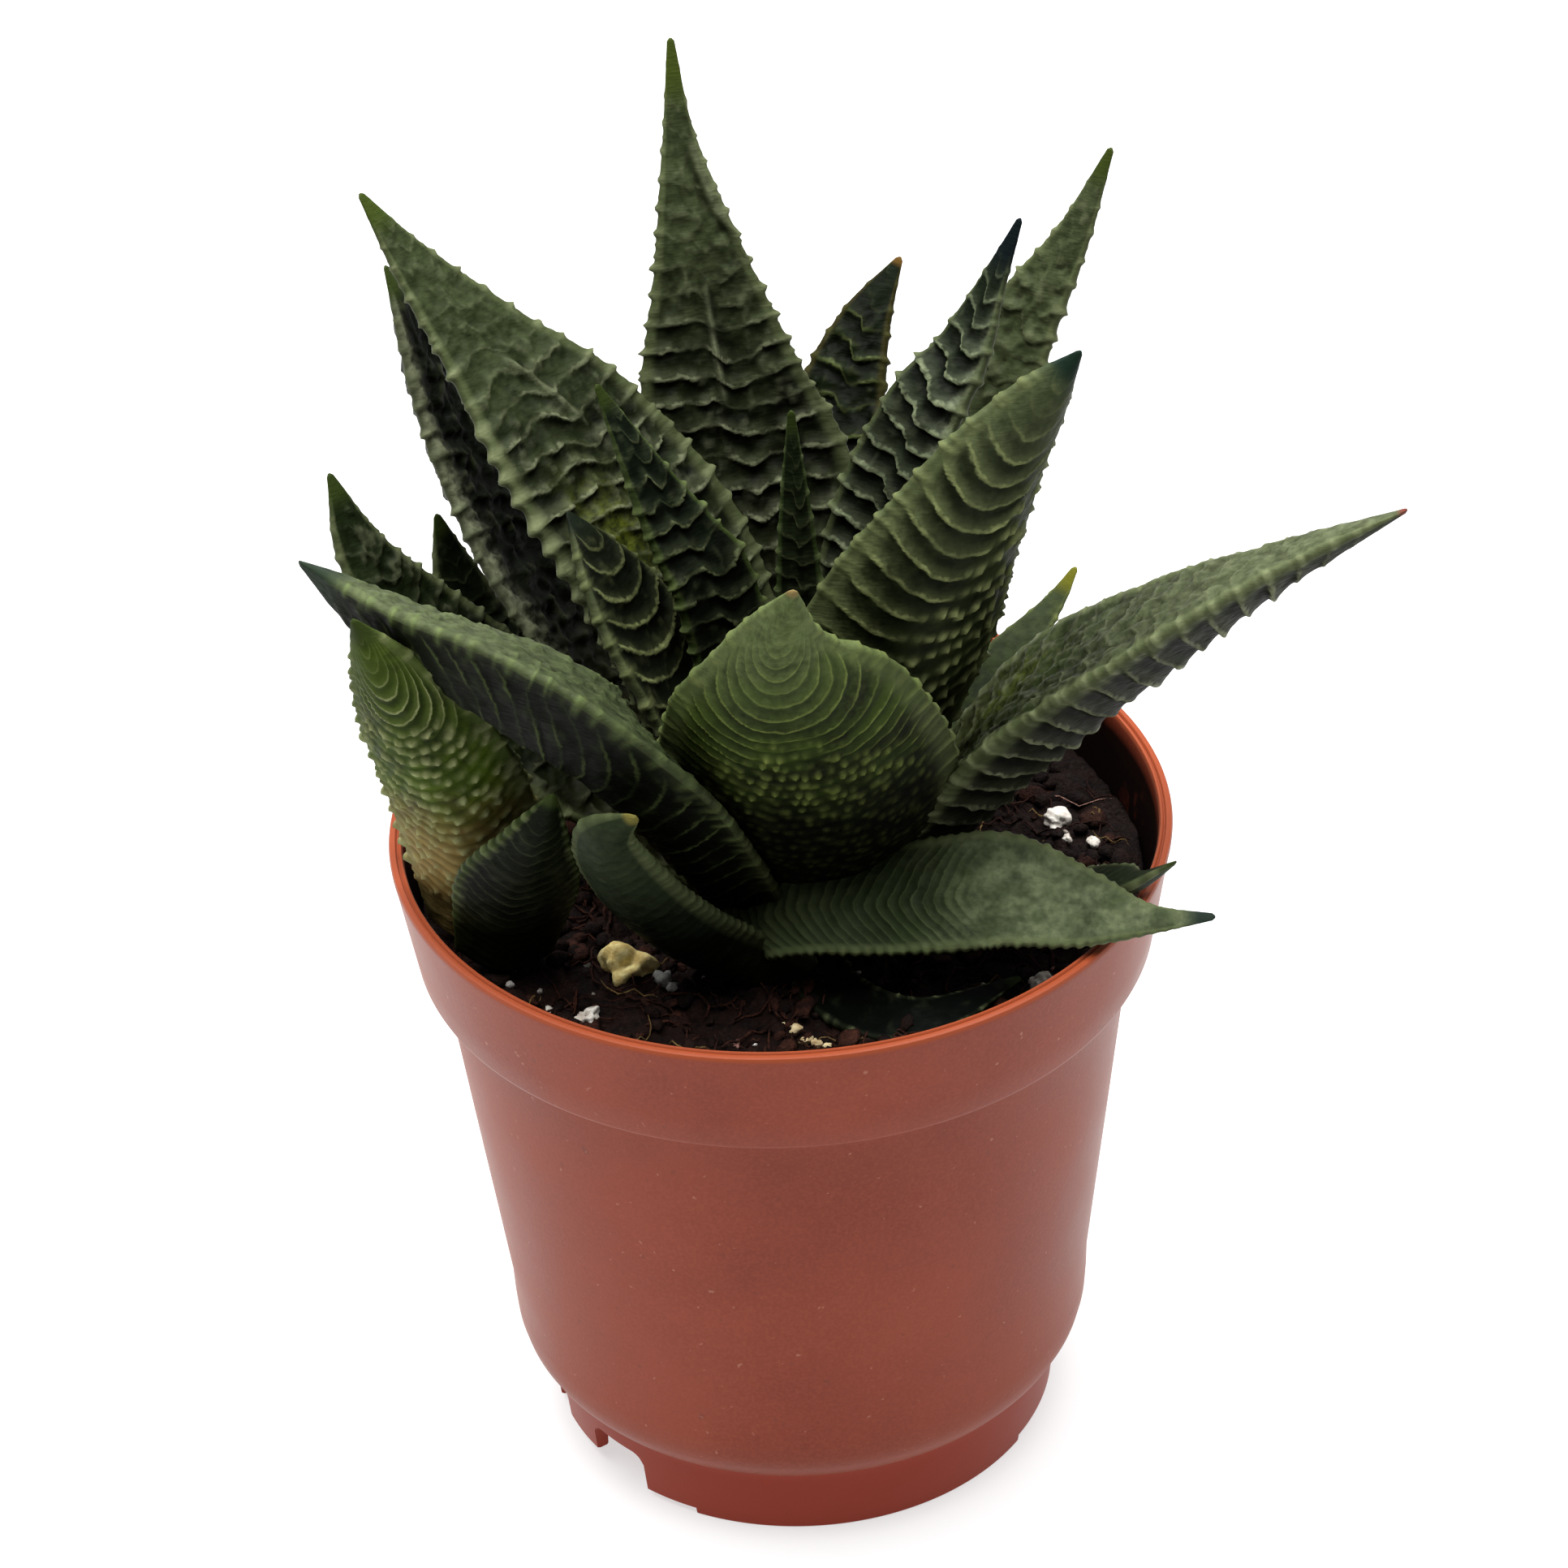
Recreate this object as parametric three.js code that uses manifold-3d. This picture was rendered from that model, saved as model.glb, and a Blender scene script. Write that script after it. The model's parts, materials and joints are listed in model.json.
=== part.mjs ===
// Potted haworthia: a rosette of keeled, cross-ridged leaves with a small offset, in a nursery pot.
// Millimetres, +Z up. The pot stands on z = 0 and its axis is the line that all sizes are taken from.

import * as THREE from "three";
import Module from "manifold-3d";

const wasm = await Module();
wasm.setup();

// Pot, outside
const POT_HEIGHT = 50;
const RIM_RADIUS = 27.5;
const COLLAR_FOOT_RADIUS = 26.1;
const COLLAR_FOOT_Z = 41.4;
const BODY_TOP_RADIUS = 24.6;
const BODY_TOP_Z = 40.5;
const BODY_FOOT_RADIUS = 21.15;
const BODY_FOOT_Z = 12.5;
const RIM_FLARE = 0.2;
const SHOULDER = [[19.5, 6.1], [20.2, 6.9], [20.7, 7.8], [21, 9]];
const SEAM_RADIUS = 18.95;
const SEAM_Z = 5.9;
const FOOT_RADIUS = 18.3;

// Pot, wall and floor
const WALL = 0.8;
const FLOOR_TOP_Z = 4.8;
const FLOOR_UNDER_Z = 3.9;
const SHOULDER_INSIDE_RADIUS = 20.5;
const SHOULDER_INSIDE_Z = 8.6;
const POT_SEGMENTS = 52;

// Arches in the foot ring, with drain holes behind them, given as turns from the front in degrees
const ARCHES = [
  { turn: -48.5, width: 5.3 },
  { turn: -75.5, width: 3.3 },
  { turn: 131.5, width: 5.3 },
  { turn: 104.5, width: 3.3 },
];
const ARCH_TOP_Z = 3.8;
const ARCH_CORNER = 1.1;
const ARCH_INNER_RADIUS = 16;
const DRAIN_RADIUS = 14.4;
const DRAIN_WIDTH = 2.8;
const DRAFT = 0.4;

// Stretches of the foot ring that stop short of the ground: turns from and to, and how far up
const RAISED_FEET = [
  { from: -86, to: -27, height: 0.5 },
  { from: 57, to: 153, height: 0.5 },
  { from: 237, to: 274, height: 0.5 },
  { from: -71, to: -56.5, height: 1.2 },
  { from: 109, to: 123.5, height: 1.2 },
];

// Clear space kept between neighbouring pieces
const GAP = 0.3;

// Slivers thinner than this close up where one solid is cut by another, and corners are rounded to it
const ROUNDING = 0.01;

// How far a cutter runs past what it cuts
const CUT_SPARE = 4;

// Soil
const SOIL_LEVEL = 44.8;
const SOIL_SWELL = 0.55;
const SOIL_SPOKES = 32;
const SOIL_RINGS = 6;

// Stems that the leaves grow from
const STEMS = [
  { name: "stem_main", x: 1, y: -1, radius: 3.4, foot: 38, shoulder: 46.5, top: 49 },
  { name: "stem_offset", x: -20.5, y: -6.5, radius: 1.9, foot: 40, shoulder: 46, top: 47.5 },
];

// Leaf surface
const MARGIN_THICKNESS = 0.7;
const RIDGE_PITCH = 3;
const BARE_SHARE = 0.22;
const RIDGE_HEIGHT = 0.4;
const TOOTH = 0.4;
const RIDGE_SWAY = 0.22;
const FULL_RIDGE_HALF_WIDTH = 2.6;
const TIP_HALF_WIDTH = 0.3;
const TIP_LENGTH = 0.3;
const TIP_CROWN = 0.12;
const VALLEY = 0.3;
const UPPER_PLACES = [-1, -0.5, 0, 0.5, 1];
const UNDER_PLACES = [1, 0.55, 0, -0.55, -1];

// Grains of perlite and pumice half sunk in the soil: place, size and colour
const GRAINS = [
  { name: "grain_yellow", x: -11, y: -10.3, z: 45.2, size: 1.6, color: 0xb9a566 },
  { name: "grain_white_left", x: -13.8, y: -15.5, z: 45.1, size: 0.8, color: 0xc9c3b8 },
  { name: "grain_white_right", x: 19.7, y: 5.2, z: 45.1, size: 1.1, color: 0xd9d3cc },
  { name: "grain_white_front", x: 17.6, y: -14.6, z: 45.3, size: 1.0, color: 0xcfc6c0 },
];

const LEAF_GREEN = 0x47573b;
const LEAF_DARK = 0x38483a;
const LEAF_FRESH = 0x5f7040;
const POT_COLOR = 0x9a5140;
const SOIL_COLOR = 0x241a15;
const STEM_COLOR = 0x6d6a45;

// Kinds of leaf. lift tips the upper face skyward. keel and hollow are the depths of the under side
// and of the channel, as shares of the half-width. bluntness: 1 is a sharp keel, 2 is a round back.
const CHANNELLED = { lift: 1, keel: 0.5, hollow: 0.2, bluntness: 1.5, color: LEAF_DARK };
const ROUND_BACKED = { lift: 0.4, keel: 0.5, hollow: 0.2, bluntness: 2, color: LEAF_FRESH };
const SHARP_KEELED = { lift: 1, keel: 0.8, hollow: 0.2, bluntness: 1.25, color: LEAF_GREEN };
const LOW_LYING = { lift: 3.5, keel: 0.38, hollow: 0.15, bluntness: 1.5, color: LEAF_DARK };
const STUBBY = { lift: 0.5, keel: 0.5, hollow: 0.15, bluntness: 1.7, color: LEAF_FRESH };

// Leaves, the innermost first. Each spine row is x, y, z and half-width, from root to tip.
// facing is the direction that the upper face looks to, in degrees from +X.
const LEAVES = [
  {
    name: "leaf_young_centre", ...CHANNELLED, facing: -90,
    spine: [[1.3, 0.5, 50, 2], [2, 2, 65.5, 1.5], [2, 3, 73, 1], [2, 4, 81, 0.2]],
  },
  {
    name: "leaf_young_left", ...CHANNELLED, facing: -60,
    spine: [[-0.5, 0, 51, 2.6], [-3.5, 0, 68.5, 3], [-5.5, 0.5, 73, 2.5], [-7.5, 1, 77, 1.7],
      [-11, 2, 85, 0.2]],
  },
  {
    name: "leaf_right_narrow", ...CHANNELLED, facing: -130,
    spine: [
      [3.5, 2, 50, 3], [7.2, 5, 68.5, 4], [10.7, 7, 77.9, 3.1], [13.7, 8.5, 82, 2.1],
      [15.8, 10, 86, 1.1], [18.1, 11, 91.1, 0.2],
    ],
  },
  {
    name: "leaf_right_front", ...ROUND_BACKED, facing: 103,
    spine: [
      [3.5, -3.5, 49, 3.6], [8.1, -6, 68.5, 7.1], [13.6, -6, 80, 4.9], [17.8, -5, 85.9, 2.8],
      [21.2, -4, 89.6, 0.2],
    ],
  },
  {
    name: "leaf_left_inner", ...CHANNELLED, facing: -20,
    spine: [[-2, -3, 49.5, 3], [-6.5, -3, 63.5, 4.6], [-10, -1, 70, 3.8], [-13.5, 2, 75, 0.2]],
  },
  {
    name: "leaf_left_big", ...CHANNELLED, facing: -48, color: LEAF_GREEN,
    spine: [
      [-2, 2, 48, 4.5], [-6, 5, 65.5, 7.2], [-13, 9, 76.2, 6.4], [-18.6, 12, 82.3, 3.7],
      [-23.3, 14.5, 87.5, 1.6], [-26.7, 16, 92.5, 0.2],
    ],
  },
  {
    name: "leaf_back_tall", ...CHANNELLED, facing: -85, color: LEAF_GREEN,
    spine: [
      [0.5, 3, 47.5, 4.5], [-1.2, 12, 67, 7.7], [-2.8, 16, 76.5, 5.4], [-3.7, 19, 83.5, 3.2],
      [-4.8, 22.5, 91.5, 1.1], [-5.1, 25, 98.5, 0.2],
    ],
  },
  {
    name: "leaf_front_centre", ...ROUND_BACKED, facing: 90,
    spine: [
      [2, -5, 47, 4], [2.2, -10, 59.5, 9.7], [1.1, -17, 72.5, 7.8], [0.4, -20.5, 79, 3.1],
      [1.5, -24, 85, 0.2],
    ],
  },
  {
    name: "leaf_right_far", ...CHANNELLED, facing: -110, color: LEAF_GREEN,
    spine: [
      [3, 3.3, 48, 3.8], [9.8, 12, 64, 4.8], [14.9, 16, 72.5, 3.7], [18.6, 18, 79, 2.4],
      [22, 19, 84.6, 1.2], [24.9, 20, 91.1, 0.2],
    ],
  },
  {
    name: "leaf_right_long", ...SHARP_KEELED, keel: 0.7, facing: 160,
    spine: [
      [5, -4.5, 46.5, 3], [14.6, -5.3, 61.7, 7], [24.5, -7, 69.8, 5.4], [33, -8, 74.7, 2.6],
      [42.5, -8, 78.6, 0.2],
    ],
  },
  {
    name: "leaf_left_long", ...SHARP_KEELED, facing: 15,
    spine: [
      [-1, -7, 48, 3.5], [-8, -14, 66.5, 6], [-15.6, -12, 72.2, 6.1], [-24.4, -9, 74.8, 3.8],
      [-31.3, -6, 77.2, 0.2],
    ],
  },
  {
    name: "leaf_back_right", ...CHANNELLED, facing: -110,
    spine: [
      [1.5, 5, 47, 3.5], [3.5, 20, 62, 4.6], [5.6, 26, 67.8, 3.2], [7.7, 30, 71.9, 1.8],
      [10.5, 33, 75.5, 0.2],
    ],
  },
  {
    name: "leaf_left_back", ...CHANNELLED, facing: -20,
    spine: [[-4.5, 6, 48, 4.2], [-14.5, 14, 61, 6.5], [-21.3, 19, 71.5, 4.1], [-25.8, 22, 83.2, 0.2]],
  },
  {
    name: "leaf_left_far", ...CHANNELLED, facing: -45, color: LEAF_GREEN,
    spine: [[-4, 0, 46.5, 3.2], [-20, 5, 58.5, 4.7], [-27.5, 7, 68, 2.2], [-30, 9, 74.5, 0.2]],
  },
  {
    name: "leaf_left_far_small", ...CHANNELLED, facing: -60,
    spine: [[-5, 5, 46, 2.5], [-19.1, 14, 54.5, 3], [-22.1, 17, 59.5, 1.8], [-23.4, 18, 65, 0.2]],
  },
  {
    name: "leaf_right_small", ...CHANNELLED, facing: -130, color: LEAF_FRESH,
    spine: [[5, 2, 47, 2.5], [15, 11, 53, 2], [20, 16, 56, 0.8], [22, 18, 58, 0.2]],
  },
  {
    name: "leaf_low_left", ...STUBBY, facing: 70, color: LEAF_DARK,
    spine: [
      [-0.5, -10.5, 44.8, 3.6], [-6.5, -13, 50.6, 4], [-10, -17, 57.5, 3.3], [-11.5, -20, 63.5, 2],
      [-9.5, -22, 66.5, 0.3],
    ],
  },
  {
    name: "leaf_low_right", ...LOW_LYING, lift: 1.5, facing: -90, color: LEAF_GREEN,
    spine: [
      [-2.5, -10.5, 46, 2.2], [-2, -12.3, 50.3, 2.8], [1.5, -13.1, 52.2, 3.5], [6, -13.3, 52.3, 3.7],
      [10.5, -13.7, 52.8, 3.9], [15, -14.3, 53.4, 3.9], [20.5, -15.6, 52.4, 2.5], [24.5, -17, 52.4, 1],
      [29, -18, 53.1, 0.2],
    ],
  },
  {
    name: "leaf_rim_right", ...CHANNELLED, facing: 150,
    spine: [[4, -3, 46.5, 2.2], [14, -6, 47, 2.2], [20.5, -8.5, 49.2, 2], [24, -11, 51.4, 1.3],
      [27, -10, 52, 0.2]],
  },
  {
    name: "leaf_low_front", ...LOW_LYING, facing: -90,
    spine: [[1.5, -6, 45.2, 1.8], [3, -14, 45.3, 2], [8.5, -18.2, 45.6, 1.7], [16, -14.2, 45.8, 0.2]],
  },
  {
    name: "offset_leaf_tall", ...STUBBY, facing: 80,
    spine: [
      [-21, -5, 46, 3.6], [-21.4, -8, 57.5, 4.9], [-23.4, -10, 66, 4.5], [-25.4, -12, 72, 2.7],
      [-27.5, -13, 77, 0.2],
    ],
  },
  {
    name: "offset_leaf_front", ...STUBBY, facing: 90, color: LEAF_DARK,
    spine: [[-19.5, -9, 46.5, 3.2], [-18, -12, 54.5, 4], [-16.5, -15, 60, 2.2], [-15, -17, 65, 0.2]],
  },
  {
    name: "offset_leaf_side", ...STUBBY, facing: 0,
    spine: [[-22, -4, 46, 1.5], [-24.3, -3, 50.5, 1.6], [-26.5, -2, 56, 0.2]],
  },
];

// A solid from a geometry, and a geometry back from a solid
function toSolid(geometry) {
  const vertProperties = new Float32Array(geometry.attributes.position.array);
  const triVerts = new Uint32Array(geometry.index.array);
  return new wasm.Manifold(new wasm.Mesh({ numProp: 3, vertProperties, triVerts, tolerance: ROUNDING }));
}

function toGeometry(solid) {
  const mesh = solid.getMesh();
  const geometry = new THREE.BufferGeometry();
  geometry.setAttribute("position", new THREE.Float32BufferAttribute(mesh.vertProperties, 3));
  geometry.setIndex(new THREE.Uint32BufferAttribute(mesh.triVerts, 1));
  geometry.computeVertexNormals();
  return geometry;
}

// The same triangles with shared corners, each corner rounded to the given step
function welded(geometry, step = ROUNDING) {
  const flat = geometry.index ? geometry.toNonIndexed() : geometry;
  const place = flat.attributes.position;
  const known = new Map();
  const points = [];
  const corners = [];
  for (let i = 0; i < place.count; i += 1) {
    const exact = [place.getX(i), place.getY(i), place.getZ(i)];
    const point = exact.map((value) => Math.round(value / step) * step);
    const key = point.map((value) => value.toFixed(4)).join(" ");
    if (!known.has(key)) {
      known.set(key, points.length / 3);
      points.push(...point);
    }
    corners.push(known.get(key));
  }
  const faces = [];
  for (let i = 0; i < corners.length; i += 3) {
    const [a, b, c] = corners.slice(i, i + 3);
    if (a !== b && b !== c && c !== a) {
      faces.push(a, b, c);
    }
  }
  const result = new THREE.BufferGeometry();
  result.setAttribute("position", new THREE.Float32BufferAttribute(points, 3));
  result.setIndex(faces);
  return result;
}

// The part of a cut solid that is worth keeping, without the crumbs and slivers of the cut
function largestPiece(solid) {
  const pieces = toSolid(welded(toGeometry(solid))).decompose();
  return pieces.reduce((best, piece) => (piece.volume() > best.volume() ? piece : best));
}

// A closed skin over a row of rings that run anticlockwise about the direction of travel
function skin(rings, startPoint, endPoint) {
  const count = rings[0].length;
  const points = [startPoint, ...rings.flat(), endPoint];
  const last = points.length - 1;
  const faces = [];
  for (let row = 0; row < rings.length; row += 1) {
    for (let i = 0; i < count; i += 1) {
      const next = (i + 1) % count;
      const here = 1 + row * count;
      if (row === 0) {
        faces.push(0, here + next, here + i);
      }
      if (row === rings.length - 1) {
        faces.push(last, here + i, here + next);
      } else {
        const above = here + count;
        faces.push(here + i, here + next, above + next);
        faces.push(here + i, above + next, above + i);
      }
    }
  }
  const geometry = new THREE.BufferGeometry();
  geometry.setAttribute("position", new THREE.Float32BufferAttribute(points.flatMap((p) => p.toArray()), 3));
  geometry.setIndex(faces);
  return geometry;
}

// A level ring of points about an upright axis
function levelRing(count, radius, heightAt, centreX = 0, centreY = 0) {
  return Array.from({ length: count }, (_, i) => {
    const angle = (2 * Math.PI * i) / count;
    const x = radius * Math.cos(angle);
    const y = radius * Math.sin(angle);
    return new THREE.Vector3(centreX + x, centreY + y, heightAt(x, y));
  });
}

// A turned solid from rows of radius and height, listed from its underside to its top
function turned(profile, count, centreX = 0, centreY = 0) {
  const rings = profile.map(([radius, z]) => levelRing(count, radius, () => z, centreX, centreY));
  const low = new THREE.Vector3(centreX, centreY, profile[0][1]);
  const high = new THREE.Vector3(centreX, centreY, profile[profile.length - 1][1]);
  return toSolid(skin(rings, low, high));
}

// The inner face of the pot's wall, from the floor to the rim, moved inwards by a clearance
function wallInside(clearance) {
  const inset = WALL + clearance;
  return [
    [SEAM_RADIUS - inset, FLOOR_TOP_Z],
    [SHOULDER_INSIDE_RADIUS - inset, SHOULDER_INSIDE_Z],
    [BODY_FOOT_RADIUS - inset, BODY_FOOT_Z],
    [BODY_TOP_RADIUS - inset, BODY_TOP_Z],
    [COLLAR_FOOT_RADIUS - inset, COLLAR_FOOT_Z],
    [RIM_RADIUS - RIM_FLARE - inset, POT_HEIGHT],
  ];
}

function makePot() {
  const outside = [
    [FOOT_RADIUS, 0],
    [SEAM_RADIUS, SEAM_Z],
    ...SHOULDER,
    [BODY_FOOT_RADIUS, BODY_FOOT_Z],
    [BODY_TOP_RADIUS, BODY_TOP_Z],
    [COLLAR_FOOT_RADIUS, COLLAR_FOOT_Z],
    [RIM_RADIUS, POT_HEIGHT],
  ];
  const body = turned(outside, POT_SEGMENTS);
  const room = wallInside(0);
  const filling = turned([...room, [room[room.length - 1][0], POT_HEIGHT + 1]], POT_SEGMENTS);
  const recess = turned([
    [FOOT_RADIUS - WALL, -1],
    [FOOT_RADIUS - WALL + DRAFT, FLOOR_UNDER_Z],
  ], POT_SEGMENTS);
  let pot = body.subtract(filling).subtract(recess);
  for (const arch of ARCHES) {
    pot = pot.subtract(archCutter(arch)).subtract(drainCutter(arch));
  }
  for (const stretch of RAISED_FEET) {
    pot = pot.subtract(footWedge(stretch));
  }
  return pot;
}

// A solid turned about the pot's axis from the front to its place
function turnedToPlace(geometry, turn) {
  geometry.rotateZ(THREE.MathUtils.degToRad(turn));
  return toSolid(welded(geometry));
}

// A round-cornered arch, cut radially through the foot ring
function archCutter(arch) {
  const half = arch.width / 2;
  const spring = ARCH_TOP_Z - ARCH_CORNER;
  const outline = new THREE.Shape();
  outline.moveTo(-half - DRAFT, -1);
  outline.lineTo(half + DRAFT, -1);
  outline.lineTo(half, spring);
  outline.absarc(half - ARCH_CORNER, spring, ARCH_CORNER, 0, Math.PI / 2, false);
  outline.absarc(-half + ARCH_CORNER, spring, ARCH_CORNER, Math.PI / 2, Math.PI, false);
  outline.closePath();
  const depth = FOOT_RADIUS + CUT_SPARE - ARCH_INNER_RADIUS;
  const geometry = new THREE.ExtrudeGeometry(outline, { depth, bevelEnabled: false, curveSegments: 3 });
  geometry.rotateX(Math.PI / 2);
  geometry.translate(0, -ARCH_INNER_RADIUS, 0);
  return turnedToPlace(geometry, arch.turn);
}

// A drain hole through the floor, just inside an arch
function drainCutter(arch) {
  const geometry = new THREE.BoxGeometry(DRAIN_WIDTH, DRAIN_WIDTH, CUT_SPARE);
  geometry.translate(0, -DRAIN_RADIUS, FLOOR_UNDER_Z);
  return turnedToPlace(geometry, arch.turn);
}

// A wedge from the pot's axis outwards that takes the bottom off a stretch of the foot ring
function footWedge(stretch) {
  const reach = 2 * FOOT_RADIUS;
  const outline = new THREE.Shape();
  outline.moveTo(0, 0);
  for (const share of [0, 0.5, 1]) {
    const turn = THREE.MathUtils.degToRad(THREE.MathUtils.lerp(stretch.from, stretch.to, share));
    outline.lineTo(reach * Math.sin(turn), -reach * Math.cos(turn));
  }
  outline.closePath();
  const geometry = new THREE.ExtrudeGeometry(outline, { depth: stretch.height + 1, bevelEnabled: false });
  geometry.translate(0, 0, -1);
  return toSolid(welded(geometry));
}

// Soft heaps and hollows of the soil's surface
function soilHeight(x, y) {
  const waves = Math.sin(0.55 * x + 1.3) * Math.cos(0.47 * y - 0.4)
    + 0.7 * Math.sin(1.15 * x - 0.8 * y) + 0.5 * Math.cos(1.7 * x + 1.2 * y + 2);
  return SOIL_LEVEL + (SOIL_SWELL * waves) / 2;
}

function makeSoilBlank(raise) {
  const wall = wallInside(GAP).slice(0, -1);
  const floor = FLOOR_TOP_Z + GAP;
  const edge = wall[wall.length - 1][0];
  const sides = wall.map(([radius, z]) => levelRing(SOIL_SPOKES, radius, () => Math.max(z, floor)));
  const top = [];
  for (let i = SOIL_RINGS; i >= 1; i -= 1) {
    top.push(levelRing(SOIL_SPOKES, (edge * i) / SOIL_RINGS, (x, y) => soilHeight(x, y) + raise));
  }
  const low = new THREE.Vector3(0, 0, floor);
  const high = new THREE.Vector3(0, 0, soilHeight(0, 0) + raise);
  return toSolid(skin([...sides, ...top], low, high));
}

function makeStem(stem, clearance) {
  const r = stem.radius + clearance;
  return turned([
    [r * 0.8, stem.foot - clearance],
    [r, stem.foot + 2],
    [r, stem.shoulder],
    [r * 0.75, stem.shoulder + 0.7 * (stem.top - stem.shoulder) + clearance],
    [r * 0.3, stem.top + clearance],
  ], 16, stem.x, stem.y);
}

function makeGrain(grain, clearance) {
  const geometry = welded(new THREE.IcosahedronGeometry(1, 1));
  const place = geometry.attributes.position;
  for (let i = 0; i < place.count; i += 1) {
    const p = new THREE.Vector3().fromBufferAttribute(place, i);
    const lump = 1 + 0.14 * Math.sin(5 * p.x + 3 * p.y) + 0.1 * Math.cos(4 * p.z - 6 * p.y);
    const size = grain.size * lump + clearance;
    place.setXYZ(i, grain.x + 1.15 * size * p.x, grain.y + 0.95 * size * p.y, grain.z + 0.8 * size * p.z);
  }
  return toSolid(geometry);
}

// One cross section of a leaf: the upper face from left to right, then the under side back again
function leafRing(leaf, line, girth, share, row, ridge, swell) {
  const length = line.getLength();
  const step = RIDGE_PITCH / 2 / length;
  const place = (u, under, index) => {
    const sway = swell > 0 ? 0 : RIDGE_SWAY * step * Math.sin(2.3 * index + 0.8 * row);
    const t = line.getUtoTmapping(THREE.MathUtils.clamp(share + sway * (1 - u * u), 0, 1));
    const along = line.getTangent(t);
    const half = Math.max(girth.getPoint(t).x, TIP_HALF_WIDTH) + swell;
    const facing = THREE.MathUtils.degToRad(leaf.facing);
    const face = new THREE.Vector3(Math.cos(facing), Math.sin(facing), leaf.lift);
    face.addScaledVector(along, -face.dot(along)).normalize();
    const side = new THREE.Vector3().crossVectors(along, face);
    const relief = ridge * Math.min(1, half / FULL_RIDGE_HALF_WIDTH);
    const margin = MARGIN_THICKNESS / 2 + swell;
    const channel = (leaf.hollow * (1 - share) - TIP_CROWN * share) * half;
    const height = under
      ? -margin - (leaf.keel * half) * (1 - Math.abs(u) ** leaf.bluntness) - RIDGE_HEIGHT * relief
      : margin - channel * (1 - u * u) + RIDGE_HEIGHT * relief;
    const reach = u * (half + TOOTH * relief * Math.abs(u));
    return line.getPoint(t).addScaledVector(side, reach).addScaledVector(face, height);
  };
  const upper = UPPER_PLACES.map((u, i) => place(u, false, i));
  const under = UNDER_PLACES.map((u, i) => place(u, true, i));
  return [...upper, ...under];
}

// A whole leaf. With a swell it is the smooth, slightly larger body that keeps a neighbour clear.
function makeLeaf(leaf, swell) {
  const points = leaf.spine.map(([x, y, z]) => new THREE.Vector3(x, y, z));
  const widths = leaf.spine.map((row) => new THREE.Vector3(row[3], 0, 0));
  const line = new THREE.CatmullRomCurve3(points, false, "catmullrom", 0.5);
  const girth = new THREE.CatmullRomCurve3(widths, false, "catmullrom", 0.5);
  const pitch = swell > 0 ? 2 * RIDGE_PITCH : RIDGE_PITCH;
  const bareRows = Math.round((BARE_SHARE * line.getLength()) / pitch);
  const rows = 2 * Math.round(((1 - BARE_SHARE) * line.getLength()) / pitch);
  const rings = [];
  for (let row = 0; row < bareRows; row += 1) {
    rings.push(leafRing(leaf, line, girth, (BARE_SHARE * row) / bareRows, row, 0, swell));
  }
  for (let row = 0; row < rows; row += 1) {
    const ridge = swell > 0 ? 0 : (row % 2) - VALLEY;
    const share = BARE_SHARE + ((1 - BARE_SHARE) * row) / rows;
    rings.push(leafRing(leaf, line, girth, share, row, ridge, swell));
  }
  rings.push(leafRing(leaf, line, girth, 1 - TIP_LENGTH / line.getLength(), rows, 0, swell));
  const tip = line.getPoint(1).addScaledVector(line.getTangent(1), swell);
  return toSolid(skin(rings, line.getPoint(0), tip));
}

// Main program: each piece gives way to those that lie further in
const group = new THREE.Group();

function addPiece(name, solid, color, roughness) {
  const material = new THREE.MeshStandardMaterial({ color, roughness, metalness: 0 });
  const mesh = new THREE.Mesh(toGeometry(solid), material);
  mesh.name = name;
  group.add(mesh);
}

addPiece("pot", largestPiece(makePot()), POT_COLOR, 0.55);

let soil = makeSoilBlank(0);
for (const stem of STEMS) {
  soil = soil.subtract(makeStem(stem, GAP));
}
for (const grain of GRAINS) {
  soil = soil.subtract(makeGrain(grain, GAP));
}
addPiece("soil", largestPiece(soil), SOIL_COLOR, 0.95);

for (const stem of STEMS) {
  addPiece(stem.name, makeStem(stem, 0), STEM_COLOR, 0.7);
}
for (const grain of GRAINS) {
  addPiece(grain.name, makeGrain(grain, 0), grain.color, 0.9);
}

let taken = makeSoilBlank(GAP);
for (const stem of STEMS) {
  taken = taken.add(makeStem(stem, GAP));
}
for (const leaf of LEAVES) {
  const solid = largestPiece(makeLeaf(leaf, 0).subtract(taken));
  addPiece(leaf.name, solid, leaf.color, 0.5);
  taken = taken.add(makeLeaf(leaf, GAP + RIDGE_HEIGHT));
}

// The origin is the middle of the whole plant's footprint, under the pot's foot
const box = new THREE.Box3().setFromObject(group);
const middle = box.getCenter(new THREE.Vector3());
group.position.set(-Math.round(middle.x * 100) / 100, -Math.round(middle.y * 100) / 100, 0);

export default group;
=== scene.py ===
# Potted haworthia: fine leaves, pot, soil and grains built round the solid model.
# Lengths are in millimetres about the pot's axis until a mesh is made, which is in metres.

import json
import math
from types import SimpleNamespace

import bpy
import numpy as np
from mathutils import Matrix, Vector


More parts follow.
